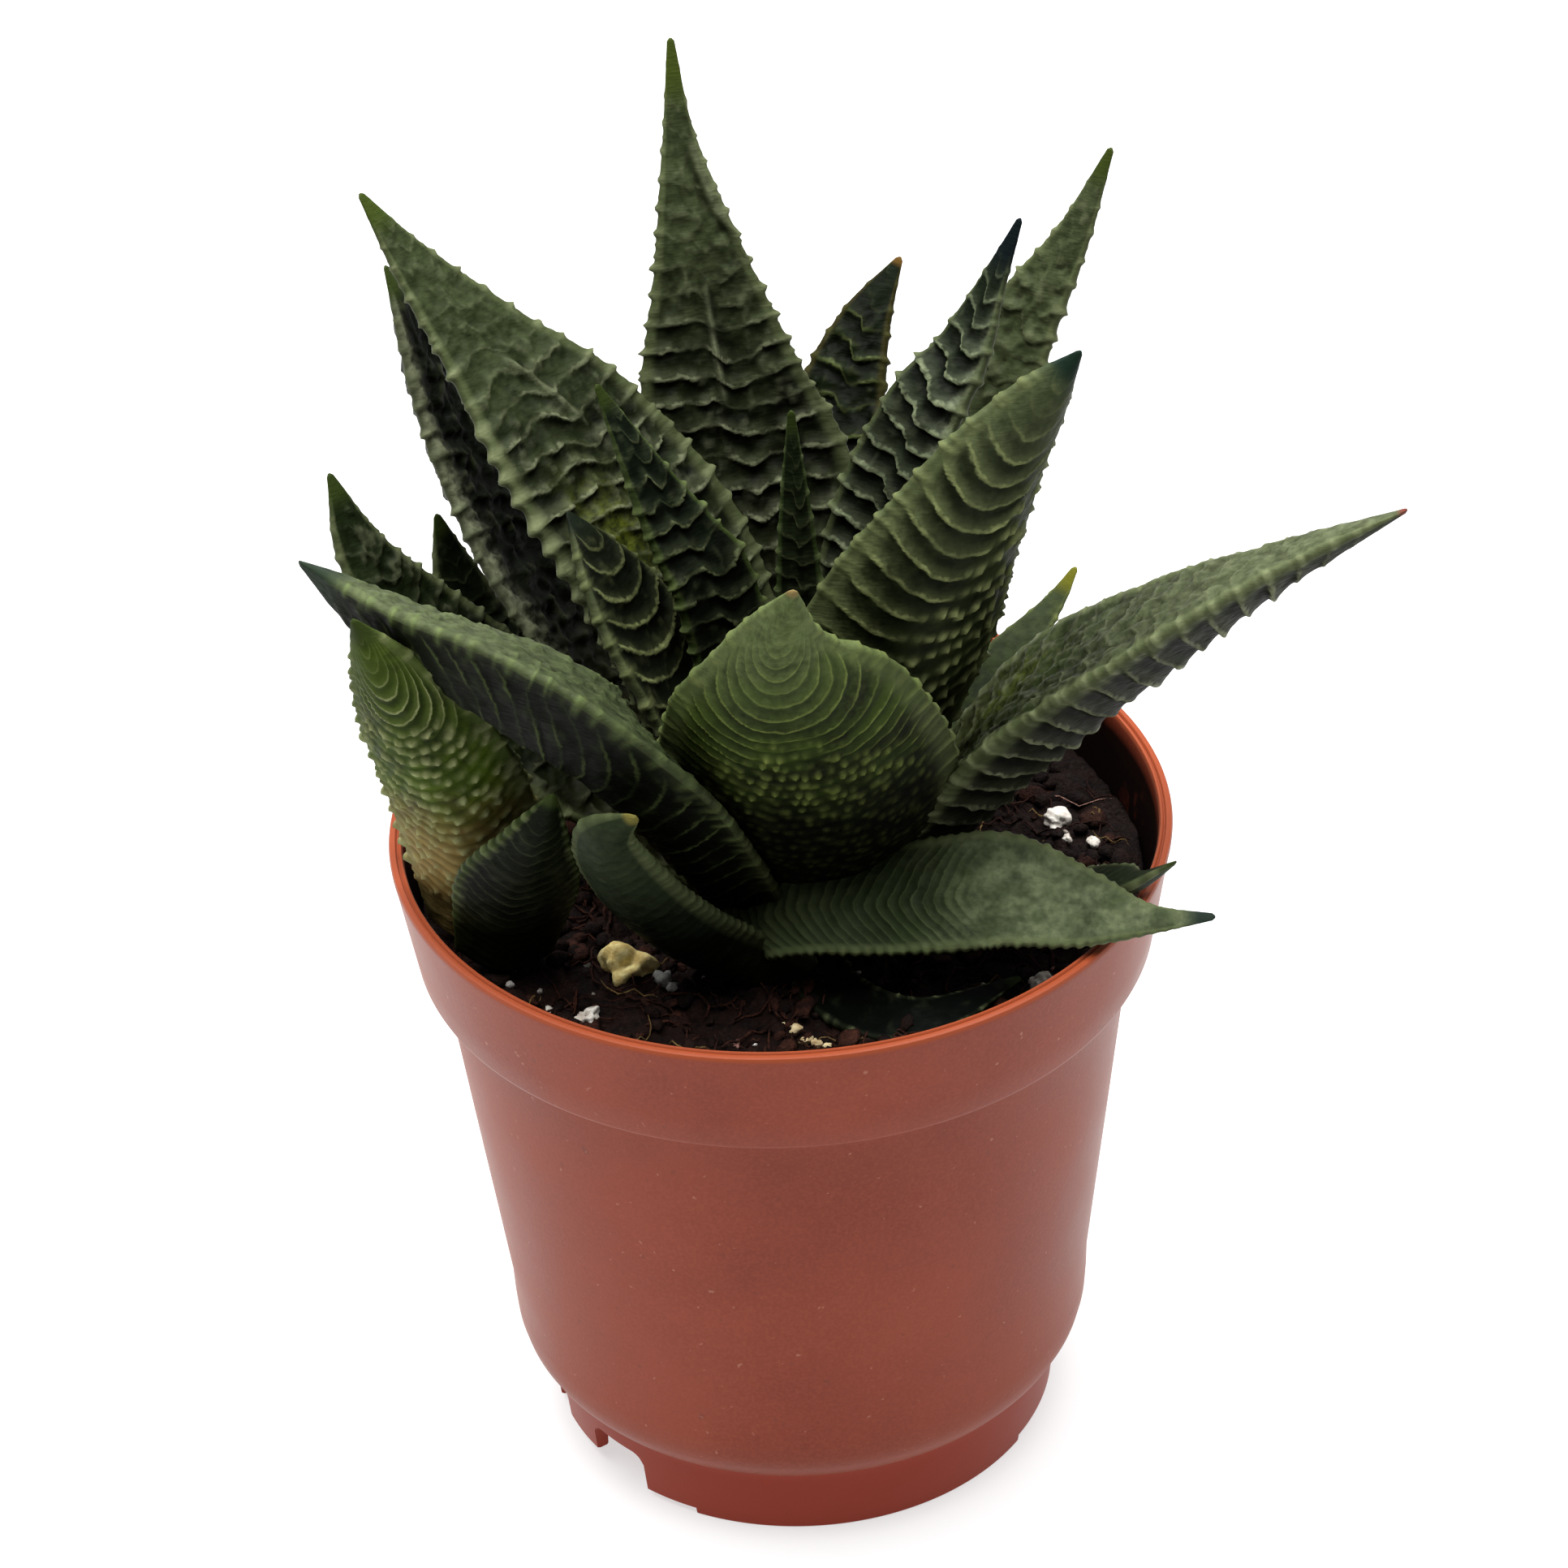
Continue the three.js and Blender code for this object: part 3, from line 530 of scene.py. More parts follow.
def face_relief(given, along, share, u, half, seed):
    """Relief of one face of a leaf: its height, the count of ridges, how strong each ridge is, how much
    painted shade lies at its foot, what else is pale or painted with shade, and how much a crest leans to
    the root."""
    x = u * half
    scale = np.minimum(1, half / FULL_RELIEF_HALF_WIDTH)
    fade = 1 - (1 - given.rest) * smooth(given.fade_from, given.fade_to, share)
    beaded = np.zeros_like(along)
    if given.bead_below:
        limit = given.bead_below - given.bead_slant * u - given.bead_curve * u * u
        limit = limit + 0.03 * noise(along / 2, x / 1.5, seed + 10)
        beaded = 1 - smooth(-BEAD_BLEND, 0, share - limit)
        fade = fade * (0.2 + 0.8 * smooth(given.bare_below, given.bare_below + 0.14, share))
    count = ridge_count(given, along, share, u, half, seed)
    index, off = cells(given, count)
    breaks = 0.5 + 0.5 * noise(x / 1.3, index * 3.7, seed + 2)
    strength = 1 - given.broken * smooth(0.4, 0.7, breaks)
    strength = strength * (0.7 + 0.3 * random_of(index, seed))
    down = np.clip(1 - off / ((1 - FOOT_SHARE) * given.pitch), 0, 1)
    ramp = np.where(off > 0, down ** 1.4, bell(off, DROP_WIDTH))
    line = bell(off, CREST_WIDTH)
    dot = beads(given, index, off, x, seed)
    ridged = given.height * strength * (given.ramp * ramp + (1.1 - given.ramp) * line)
    height = fade * scale * ((1 - beaded) * ridged + beaded * given.bead_height * dot)
    crest = fade * beaded * dot
    lumps = noise(along / 0.9, x / 0.75, seed + 7) + 0.5 * noise(along / 0.4, x / 0.35, seed + 8)
    height += given.knobs * scale * lumps * (1 - 0.7 * smooth(0.85, 1, share))
    crest += 0.9 * given.knobs * smooth(0.4, 1.1, lumps)
    # painted shade in the dimples between the lumps, fading towards the tip
    shade = 2.5 * given.knobs * smooth(0.3, 1, -lumps) * (1 - smooth(0.8, 0.95, share))
    add_rib(given, x, share, height, crest, shade)
    add_fold(given, x, along, share, half, seed, height, crest, shade)
    return dict(
        height=height, count=count, ridge=given.lines * fade * (1 - beaded) * strength,
        valley=min(1, 1.5 * given.lines) * fade * (1 - 0.5 * beaded) * (0.45 + 0.55 * strength),
        crest=np.clip(crest, 0, 1), shade=np.clip(shade, 0, 1),
        lean=fade * ((1 - beaded) * line * strength + beaded * dot),
    )


def margin_teeth(along, share, half, side, given, seed, lobes):
    """How far the margin reaches out: a tooth to each ridge of that side, and lesser ones between."""
    ones = np.full_like(along, float(side))
    index, off = cells(given, ridge_count(given, along, share, ones, half, seed))
    large = bell(off, TOOTH_WIDTH) * (0.4 + 0.6 * random_of(index, seed + 9))
    small = along / SMALL_TOOTH_PITCH + 0.4 * noise(along / 1.3, ones, seed + 12)
    number = np.floor(small)
    size = 0.5 * random_of(number, seed + 11) ** 2
    teeth = np.maximum(large, size * bell((small - number - 0.5) * SMALL_TOOTH_PITCH, SMALL_TOOTH_WIDTH))
    for lobed, low, high in lobes:
        if lobed == side:
            teeth = np.maximum(teeth, 1.1 * bell(off - 0.2, 0.5) * between(low, high, 0.05, share))
    return teeth


def section_places(columns_above, columns_below):
    """Places round a section: across from -1 to 1, turn of the margin, and which face it is on."""
    above = np.linspace(-1, 1, columns_above)
    below = np.linspace(1, -1, columns_below)
    turns = np.linspace(90, -90, MARGIN_STEPS + 2)[1:-1]
    across = np.concatenate([above, np.ones(MARGIN_STEPS), below, -np.ones(MARGIN_STEPS)])
    turn = np.concatenate([np.full(columns_above, 90), turns, np.full(columns_below, -90), turns[::-1]])
    counts = (columns_above, MARGIN_STEPS, columns_below, MARGIN_STEPS)
    return across, np.radians(turn), np.repeat((UPPER, MARGIN, UNDER, MARGIN), counts)


def leaf_path(leaf):
    """Rows along a leaf: shares of its length, the length, middles, half-widths and directions."""
    knots = np.array(leaf.spine, float)
    fine = np.linspace(0, 1, PATH_SAMPLES)
    line = catmull(knots, fine)[0][:, :3]
    run = np.concatenate([[0], np.cumsum(np.linalg.norm(np.diff(line, axis=0), axis=1))])
    length = run[-1]
    share = np.linspace(0, 1, int(length / leaf.step))
    at, direction = catmull(knots, np.interp(share * length, run, fine))
    half = np.maximum(at[:, 3], LEAST_HALF_WIDTH)
    half = np.minimum(half, LEAST_HALF_WIDTH + 1.5 * (1 - share) * length)
    tangent = unit(direction[:, :3])
    turn = math.radians(leaf.facing)
    looks_to = np.array([math.cos(turn), math.sin(turn), leaf.lift])
    face = unit(looks_to - tangent * (tangent @ looks_to)[:, None])
    return share, length, at[:, :3], half, tangent, face


def section_shape(leaf, s, u, w, kind, margin_turn):
    """How far each point of the sections lies to the side and towards the upper face."""
    thick = np.maximum(TIP_THICKNESS, MARGIN_THICKNESS * np.minimum(1, w / THIN_BELOW)) / 2
    channel = (leaf.hollow * (1 - s) - TIP_CROWN * s) * w
    rounded = np.sqrt(u * u + KEEL_ROUNDING ** 2) - KEEL_ROUNDING * (1 - np.abs(u))
    above = thick - channel * (1 - u * u)
    below = -thick - leaf.keel * w * (1 - rounded ** leaf.bluntness)
    level = np.where(kind == UPPER, above, np.where(kind == UNDER, below, thick * np.sin(margin_turn)))
    return u * w + np.sign(u) * np.where(kind == MARGIN, 0.6 * thick * np.cos(margin_turn), 0), level


def leaf_masks(colours, relief, s, u, kind, along, edge, tooth, seed):
    """Where each of a leaf's colours shows, from 0 to 1, and the count of ridges."""
    edging = smooth(colours["edge_from"], colours["edge_from"] + EDGE_WIDTH, np.abs(u))
    uneven = 0.03 * noise(along, u * 3, seed)
    spots = np.zeros_like(s)
    for place, middle, tall, wide, face in colours["spots"]:
        spots = spots + bell(s - place, tall) * bell(u - middle, wide) * (kind == face)
    return dict(
        count=relief["count"], ridge=relief["ridge"] * (1 - edge), valley=relief["valley"] * (1 - edge),
        crest=np.clip(relief["crest"] + 0.8 * edge * tooth, 0, 1), shade=relief["shade"] * (1 - edge),
        edge=edging * (0.5 + 0.5 * tooth), pale=smooth(colours["pale_from"], colours["pale_to"], s),
        # near the root: partly the leaf's own tone, partly painted shade
        base=1 - smooth(colours["base_from"], colours["base_to"], s + uneven),
        tip=smooth(colours["tip_from"], colours["tip_from"] + 0.6 * (1 - colours["tip_from"]), s),
        under=(kind == UNDER) * np.ones_like(s), spot=spots,
    )


def leaf_arrays(leaf, seed):
    """Points of a leaf as rows of sections, with its masks."""
    share, length, centre, half, tangent, face = leaf_path(leaf)
    side = np.cross(tangent, face)
    front = int(np.clip(2 * half.max() / ACROSS_STEP, LEAST_COLUMNS, MOST_COLUMNS))
    across, margin_turn, kind = section_places(front, max(LEAST_COLUMNS, int(0.9 * front)))
    # At each point: u across from -1 to 1, s the share of the length, and w the half-width
    u = np.broadcast_to(across, (len(share), len(across)))
    s = np.broadcast_to(share[:, None], u.shape)
    w = np.broadcast_to(half[:, None], u.shape)
    along = s * length
    reach, level = section_shape(leaf, s, u, w, kind, margin_turn)
    points = centre[:, None] + side[:, None] * reach[..., None] + face[:, None] * level[..., None]
    around = np.roll(points, -1, axis=1) - np.roll(points, 1, axis=1)
    outward = unit(np.cross(around, np.gradient(points, axis=0)))

    upper = face_relief(leaf.upper, along, s, u, w, seed)
    under = face_relief(leaf.under, along, s, u, w, seed + 31)
    relief = {}
    for key in upper:
        both = (upper[key] + under[key]) / 2
        relief[key] = np.where(kind == UPPER, upper[key], np.where(kind == UNDER, under[key], both))
    edge = smooth(*MARGIN_BAND, np.abs(u))
    tooth = np.zeros_like(along)
    for sign in (-1, 1):
        teeth = margin_teeth(along, s, w, sign, leaf.upper, seed, leaf.lobes)
        tooth += (np.sign(u) == sign) * teeth
    tooth *= smooth(0.08, 0.2, s) * (1 - 0.8 * smooth(0.9, 1, s))
    scale = np.minimum(1, w / FULL_RELIEF_HALF_WIDTH)
    height = relief["height"] * (1 - 0.6 * edge)
    out = np.sign(u) * edge * tooth * scale * leaf.tooth
    points = points + outward * height[..., None]
    points = points + side[:, None] * out[..., None]
    points = points - tangent[:, None] * (LEDGE_LEAN * relief["lean"] * np.maximum(height, 0))[..., None]
    return points, leaf_masks(leaf.look, relief, s, u, kind, along, edge, tooth, seed)


def to_model(points):
    """Millimetres about the pot's axis as metres in the model's frame."""
    return np.asarray(points, float) * MM + np.array([AXIS_X, AXIS_Y, 0])


def placed(name, data):
    """A new object of the scene that holds a mesh, lamp or camera."""
    made = bpy.data.objects.new(name, data)
    bpy.context.scene.collection.objects.link(made)
    return made


def make_object(name, points, faces, masks=None, sharp_angle=None):
    """A smooth-shaded object from points and faces of equal size."""
    faces = np.asarray(faces)
    mesh = bpy.data.meshes.new(name)
    mesh.vertices.add(len(points))
    mesh.vertices.foreach_set("co", to_model(points).ravel())
    corners = faces.shape[1]
    mesh.loops.add(faces.size)
    mesh.loops.foreach_set("vertex_index", faces.ravel().astype(np.int32))
    mesh.polygons.add(len(faces))
    mesh.polygons.foreach_set("loop_start", np.arange(0, faces.size, corners, dtype=np.int32))
    mesh.polygons.foreach_set("use_smooth", np.ones(len(faces), bool))
    mesh.update(calc_edges=True)
    for key, values in (masks or {}).items():
        layer = mesh.attributes.new(key, "FLOAT", "POINT")
        layer.data.foreach_set("value", np.asarray(values, np.float32).ravel())
    if sharp_angle:
        mesh.set_sharp_from_angle(angle=math.radians(sharp_angle))
    return placed(name, mesh)


def grid_faces(rows, columns, closed=True):
    """Squares between the rows of a grid whose rows run anticlockwise about the way up."""
    i, j = np.meshgrid(np.arange(rows - 1), np.arange(columns if closed else columns - 1), indexing="ij")
    after = (j + 1) % columns
    here = i * columns
    corners = [here + j, here + after, here + columns + after, here + columns + j]
    return np.stack(corners, -1).reshape(-1, 4)


def capped(points, faces, columns):
    """Closes both ends of a tube of sections with fans of flat squares."""
    rows = len(points) // columns
    ends = np.array([points[:columns].mean(0), points[-columns:].mean(0)])
    first, last = len(points), len(points) + 1
    ring = np.arange(0, columns, 2)
    after, across = (ring + 1) % columns, (ring + 2) % columns
    start = np.stack([np.full(len(ring), first), across, after, ring], -1)
    top = (rows - 1) * columns
    finish = np.stack([np.full(len(ring), last), top + ring, top + after, top + across], -1)
    return np.vstack([points, ends]), np.vstack([faces, start, finish])


def slot_of(node):
    """The record's material slot of a node."""
    return next(part["material_slot"] for part in frame["record"]["subparts"] if part["node"] == node)


def dress(piece, slot, material, replaced=None):
    """Finishes a piece: its material, its body and the node it stands for. The slot is not used."""
    piece.data.materials.clear()
    piece.data.materials.append(material)
    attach(piece, "root")
    if replaced:
        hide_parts(replaced)


def make_leaf(leaf, seed):
    """A closed leaf. Its ends are closed by squares, so its sections hold an even number of points."""
    points, masks = leaf_arrays(leaf, seed)
    rows, columns = points.shape[:2]
    if columns % 2:
        keep = np.arange(columns) != columns - 1
        points, masks = points[:, keep], {k: v[:, keep] for k, v in masks.items()}
        columns -= 1
    flat, faces = capped(points.reshape(-1, 3), grid_faces(rows, columns), columns)
    ends = {k: np.concatenate([v.ravel(), [v[0].mean(), v[-1].mean()]]) for k, v in masks.items()}
    return make_object(leaf.name + "_fine", flat, faces, ends)


# Materials: a colour of three numbers is a screen colour, from 0 to 255
SKIN_DEPTH = (0.4, 0.41, 0.33)
LEAF_GLOSS = 0.035
CREST_STRENGTH = 0.9


def srgb(colour):
    """A screen colour as linear light."""
    shares = [part / 255 for part in colour]
    return (*(s / 12.92 if s <= 0.04045 else ((s + 0.055) / 1.055) ** 2.4 for s in shares), 1)


def is_colour(value):
    """Whether a value is a screen colour."""
    return isinstance(value, tuple) and len(value) == 3


def feed(tree, value, socket):
    """Sets a socket to a value, or links it where the value is another node's output."""
    if isinstance(value, bpy.types.NodeSocket):
        tree.links.new(value, socket)
    else:
        socket.default_value = srgb(value) if is_colour(value) else value


def new_node(tree, kind, *values, **settings):
    """A node with its settings, and with values or links for its first inputs."""
    node = tree.nodes.new("ShaderNode" + kind)
    for key, value in settings.items():
        setattr(node, key, value)
    for value, socket in zip(values, node.inputs):
        feed(tree, value, socket)
    return node


def new_material(name):
    """A material with its nodes and its shader."""
    material = bpy.data.materials.new(name)
    material.use_nodes = True
    tree = material.node_tree
    tree.nodes.clear()
    shader = new_node(tree, "BsdfPrincipled")
    new_node(tree, "OutputMaterial", shader.outputs[0])
    return material, tree, shader


def mixed(tree, factor, first, second):
    """The second colour over the first, as far as the factor goes."""
    node = new_node(tree, "Mix", data_type="RGBA")
    for value, place in ((factor, 0), (first, 6), (second, 7)):
        feed(tree, value, node.inputs[place])
    return node.outputs[2]


def sums(tree, operation, first, second=0.0):
    """A sum of values, kept between 0 and 1."""
    return new_node(tree, "Math", first, second, operation=operation, use_clamp=True).outputs[0]


def product(tree, first, second):
    """One value times another."""
    return sums(tree, "MULTIPLY", first, second)


def ranged(tree, value, low, high, to_low=0.0, to_high=1.0):
    """A value taken from one range to another."""
    return new_node(tree, "MapRange", value, low, high, to_low, to_high).outputs[0]


def place_in(tree):
    """Where a point lies in its object's own frame, in metres."""
    return new_node(tree, "TexCoord").outputs["Object"]


def grainy(tree, place, size, detail, roughness=0.55, stretch=None):
    """Noise with features of about the given size in millimetres."""
    if stretch:
        mapping = new_node(tree, "Mapping", place)
        mapping.inputs["Scale"].default_value = stretch
        place = mapping.outputs[0]
    node = new_node(tree, "TexNoise", place)
    node.inputs["Scale"].default_value = 1 / (size * MM)
    node.inputs["Detail"].default_value = detail
    node.inputs["Roughness"].default_value = roughness
    return node.outputs[0]


def mask(tree, name):
    """One of the values that a mesh holds at its points."""
    return new_node(tree, "Attribute", attribute_name=name).outputs["Fac"]


def surfaced(tree, shader, color, rough, height, depth):
    """Feeds a shader its colour, its roughness and relief too fine for the mesh, depth in millimetres."""
    tree.links.new(color, shader.inputs["Base Color"])
    tree.links.new(rough, shader.inputs["Roughness"])
    bump = new_node(tree, "Bump")
    bump.inputs["Strength"].default_value = 1
    bump.inputs["Distance"].default_value = depth * MM
    tree.links.new(height, bump.inputs["Height"])
    tree.links.new(bump.outputs[0], shader.inputs["Normal"])


def deepened(value):
    """A colour of a leaf's look as the skin's own, which gives back less light; else the value itself."""
    if is_colour(value):
        return (*(depth * part for depth, part in zip(SKIN_DEPTH, srgb(value))), 1)
    return value


def ridge_masks(tree, place):
    """Crest line, painted light just above each crest and painted shade at the foot of each ridge, from
    the count of ridges along the leaf.
    """
    wobble = ranged(tree, grainy(tree, place, 0.6, 2), 0, 1, -0.14, 0.14)
    count = new_node(tree, "Math", mask(tree, "count"), wobble, operation="ADD").outputs[0]
    share = sums(tree, "FRACT", count)
    rise = ranged(tree, share, FOOT_SHARE - 0.1, FOOT_SHARE - 0.02)
    line = sums(tree, "MINIMUM", rise, ranged(tree, share, FOOT_SHARE + 0.02, FOOT_SHARE + 0.12, 1, 0))
    slope_light = sums(tree, "MINIMUM", rise, ranged(tree, share, FOOT_SHARE, 0.8, 1, 0))
    foot = ranged(tree, share, FOOT_SHARE - 0.16, FOOT_SHARE - 0.06, 1, 0)
    foot = sums(tree, "MAXIMUM", foot, ranged(tree, share, 0.5, 0.95))
    ridge = mask(tree, "ridge")
    foot = product(tree, foot, mask(tree, "valley"))
    return product(tree, line, ridge), product(tree, slope_light, ridge), foot


def leaf_material(name, colours):
    """Mottled flesh with pale crests and its own margin and tip; painted shade at the feet of ridges,
    where the flesh is darker too, and on under faces; painted light just above each crest; and near the
    root its own tone with painted shade.
    """
    material, tree, shader = new_material(name)
    shader.inputs["Specular IOR Level"].default_value = LEAF_GLOSS
    colours = {key: deepened(value) for key, value in colours.items()}
    place = place_in(tree)
    patches = ranged(tree, grainy(tree, place, 3.5, 2), 0.35, 0.65)
    speckle = ranged(tree, grainy(tree, place, 0.55, 3), 0.35, 0.68)
    fine = grainy(tree, place, 0.3, 2, stretch=(0.35, 0.35, 1.6))
    bloom = ranged(tree, grainy(tree, place, 1.3, 4, 0.6), 0.5, 0.66, 0, 0.35)
    blotches = ranged(tree, grainy(tree, place, 2.4, 3), 0.42, 0.58, 1 - colours["patchy"], 1)
    paleness = product(tree, mask(tree, "pale"), ranged(tree, speckle, 0, 1, 0.5, 1))
    line, slope_light, foot = ridge_masks(tree, place)
    dark = sums(tree, "MAXIMUM", foot, mask(tree, "shade"))
    crests = sums(tree, "MAXIMUM", line, mask(tree, "crest"))
    crests = product(tree, crests, ranged(tree, speckle, 0, 1, 0.6, 1))
    # crests dimmed near the root as painted shade
    crests = product(tree, crests, ranged(tree, mask(tree, "base"), 0, 1, 1, 1 - colours["base_crest_shade"]))
    flesh = mixed(tree, patches, colours["deep"], colours["flesh"])
    for strength, key in (
        (product(tree, speckle, 0.4), "flesh"),
        (bloom, "bloom"),
        (product(tree, paleness, blotches), "pale"),
        (product(tree, mask(tree, "spot"), ranged(tree, speckle, 0, 1, 0.1, 0.75)), "spot"),
        # near the root the leaf's own tone, with painted shade deep in the rosette
        (mask(tree, "base"), "base"),
        # painted shade over the whole under face
        (product(tree, mask(tree, "under"), colours["under_shade"]), "deep"),
        # darker flesh with painted shade at the feet of ridges, and painted shade in dimples, creases and
        # beside ribs
        (product(tree, dark, colours["valley_shade_strength"]), "deep"),
        # painted light on the upward face just above each crest, in the crest's colour
        (product(tree, slope_light, colours["slope_light"]), "crest"),
        (product(tree, crests, CREST_STRENGTH), "crest"),
        (product(tree, mask(tree, "edge"), colours["edge_strength"]), "edge"),
        (mask(tree, "tip"), "tip"),
    ):
        flesh = mixed(tree, strength, flesh, colours[key])
    surfaced(tree, shader, flesh, ranged(tree, fine, 0.3, 0.7, 0.42, 0.62), fine, 0.05)
    return material


def pot_material(name, gloss, sheen):
    """Satin terracotta-coloured plastic with faint streaks, specks and scuffs, a painted highlight on the
    rim's top, the foot ring painted lighter against its shade, and painted shade in blotches down the
    inside of the wall.
    """
    material, tree, shader = new_material(name)
    shader.inputs["Specular IOR Level"].default_value = gloss
    shader.inputs["Sheen Weight"].default_value = sheen
    shader.inputs["Sheen Roughness"].default_value = 0.35
    shader.inputs["Sheen Tint"].default_value = (1, 0.88, 0.76, 1)
    place = place_in(tree)
    clouds = ranged(tree, grainy(tree, place, 14, 4), 0.35, 0.65)
    grain = grainy(tree, place, 0.25, 2)
    specks = ranged(tree, grainy(tree, place, 0.7, 2), 0.71, 0.76)
    pits = ranged(tree, grainy(tree, place, 0.9, 1), 0.28, 0.22)
    inner_shade_blotches = ranged(tree, grainy(tree, place, 4, 4), 0.26, 0.4, 0.7, 1)
    color = mixed(tree, clouds, (122, 52, 35), (134, 61, 42))
    for strength, tint in (
        (ranged(tree, grain, 0.4, 0.7, 0, 0.3), (150, 76, 54)),
        (product(tree, specks, 0.35), (190, 140, 120)),
        (product(tree, pits, 0.5), (110, 54, 42)),
        # foot ring painted redder and lighter than the wall, against the shade under the wall's shoulder
        (mask(tree, "foot"), (142, 50, 30)),
        # painted highlight: the rim's top lighter and more orange, as the light falls on it
        (mask(tree, "lip"), (142, 66, 38)),
        # painted shade in blotches down the inside of the wall, below the rim
        (product(tree, mask(tree, "stain"), inner_shade_blotches), (20, 12, 10)),
    ):
        color = mixed(tree, strength, color, tint)
    surfaced(tree, shader, color, ranged(tree, clouds, 0, 1, 0.36, 0.46), grain, 0.012)
    return material


def soil_material(name, dark, brown, size):
    """Dull mix with clods of a size in millimetres and crumbs, darker at the right with the painted
    shadow of the pot's wall.
    """
    material, tree, shader = new_material(name)
    shader.inputs["Specular IOR Level"].default_value = 0.1
    place = place_in(tree)
    clods = ranged(tree, grainy(tree, place, size, 4, 0.65), 0.4, 0.7)
    crumbs = ranged(tree, grainy(tree, place, size / 6, 3), 0.45, 0.75)
    color = mixed(tree, clods, dark, brown)
    color = mixed(tree, product(tree, crumbs, 0.5), color, brown)
    across = new_node(tree, "SeparateXYZ", place).outputs[0]
    # painted shadow of the pot's wall, darkening the soil towards the right
    wall_shadow = ranged(tree, across, AXIS_X + 6 * MM, AXIS_X + 16 * MM, 0, 0.5)
    color = mixed(tree, wall_shadow, color, dark)
    surfaced(tree, shader, color, ranged(tree, crumbs, 0, 1, 0.75, 0.95), crumbs, 0.12)
    return material


def grain_material(name, light, dark):
    """Chalky, porous stone with blotches."""
    material, tree, shader = new_material(name)
    place = place_in(tree)
    blotch = ranged(tree, grainy(tree, place, 0.9, 4, 0.65), 0.38, 0.66)
    pores = grainy(tree, place, 0.2, 3)
    color = mixed(tree, blotch, dark, light)
    surfaced(tree, shader, color, ranged(tree, pores, 0.3, 0.7, 0.75, 0.95), pores, 0.1)
    return material


# Pot: radii from its axis and heights above the ground
WALL = 0.8
FOOT_RADIUS = 18.3
SEAM_Z = 5.9
FLOOR_UNDER_Z = 3.9
FLOOR_TOP_Z = 4.8
FOOT_BEVEL = 0.12
RING_TOP_RADIUS = 18.92
RING_TOP_Z = SEAM_Z - 0.25
CENTRE_RADIUS = 0.2
FLOOR_MIDDLE_RADIUS = 9
SHARP_ANGLE = 38
RING_SHARES = (0, 0.15, 0.3, 0.5, 0.7, 0.85, 1)
POT_TURNS = 480
ARCHES = [(-48.5, 5.3), (-75.5, 3.3), (131.5, 5.3), (104.5, 3.3)]
ARCH_TOP_Z = 3.8
ARCH_CORNER = 1.1
RAISED_FEET = [(-86, -27, 0.5), (57, 153, 0.5), (237, 274, 0.5), (-71, -56.5, 1.2), (109, 123.5, 1.2)]
POT_OUTSIDE = [
    (18.93, SEAM_Z - 0.15), (19.02, SEAM_Z), (19.3, 5.98), (19.62, 6.15), (20.2, 6.85), (20.7, 7.8),
    (20.95, 8.8), (21.06, 10.2), (21.15, 12.5), (22, 19.5), (22.86, 26.5), (23.7, 33.5),
    (24.5, 39.9), (24.62, 40.4), (24.75, 40.62), (25.1, 40.8), (25.75, 41.1), (26.02, 41.28),
    (26.14, 41.55), (26.5, 43.8), (26.95, 46.6), (27.36, 49.1), (27.44, 49.5), (27.46, 49.75),
    (27.38, 49.92), (27.22, 50), (27.02, 50), (26.94, 49.93), (26.9, 49.8), (26.84, 49.8),
    (26.8, 49.93), (26.72, 49.99), (26.6, 49.97), (26.52, 49.85), (26.48, 49.6), (26.32, 48.5),
    (26.08, 47), (25.7, 44.5), (25.3, 41.4), (23.8, 40.5), (20.35, 12.5), (19.7, 8.6),
    (18.15, FLOOR_TOP_Z), (CENTRE_RADIUS, FLOOR_TOP_Z),
]
INNER_EDGE = (26.48, 49.6)
LIP_FROM_Z = 49.6
# Heights between which painted shade comes in down the inside of the wall
INNER_SHADE_BETWEEN = (49.9, 48.4)


def foot_bottom(turn):
    """Height of the foot ring's lower edge at turns from the front, in degrees."""
    bottom = np.zeros_like(turn)
    for start, stop, height in RAISED_FEET:
        inside = ((turn - start) % 360) < (stop - start)
        bottom = np.where(inside, np.maximum(bottom, height), bottom)
    for middle, width in ARCHES:
        off = (turn - middle + 180) % 360 - 180
        x = np.abs(np.radians(off)) * FOOT_RADIUS
        flat = width / 2 - ARCH_CORNER
        drop = ARCH_CORNER - np.sqrt(np.maximum(0, ARCH_CORNER ** 2 - np.maximum(0, x - flat) ** 2))
        bottom = np.where(x < width / 2, ARCH_TOP_Z - drop, bottom)
    return bottom


def pot_turns():
    """Turns round the pot, with a pair of them close together at each step of the lower edge."""
    turns = list(np.linspace(0, 360, POT_TURNS, endpoint=False))
    steps = [edge for start, stop, _ in RAISED_FEET for edge in (start, stop)]
    for middle, width in ARCHES:
        reach = math.degrees(width / 2 / FOOT_RADIUS)
        steps += [middle - reach, middle + reach]
    for step in steps:
        turns = [t for t in turns if abs((t - step + 180) % 360 - 180) > 0.3]
        turns += [(step - 0.06) % 360, (step + 0.06) % 360]
    return np.array(sorted(set(turns)))


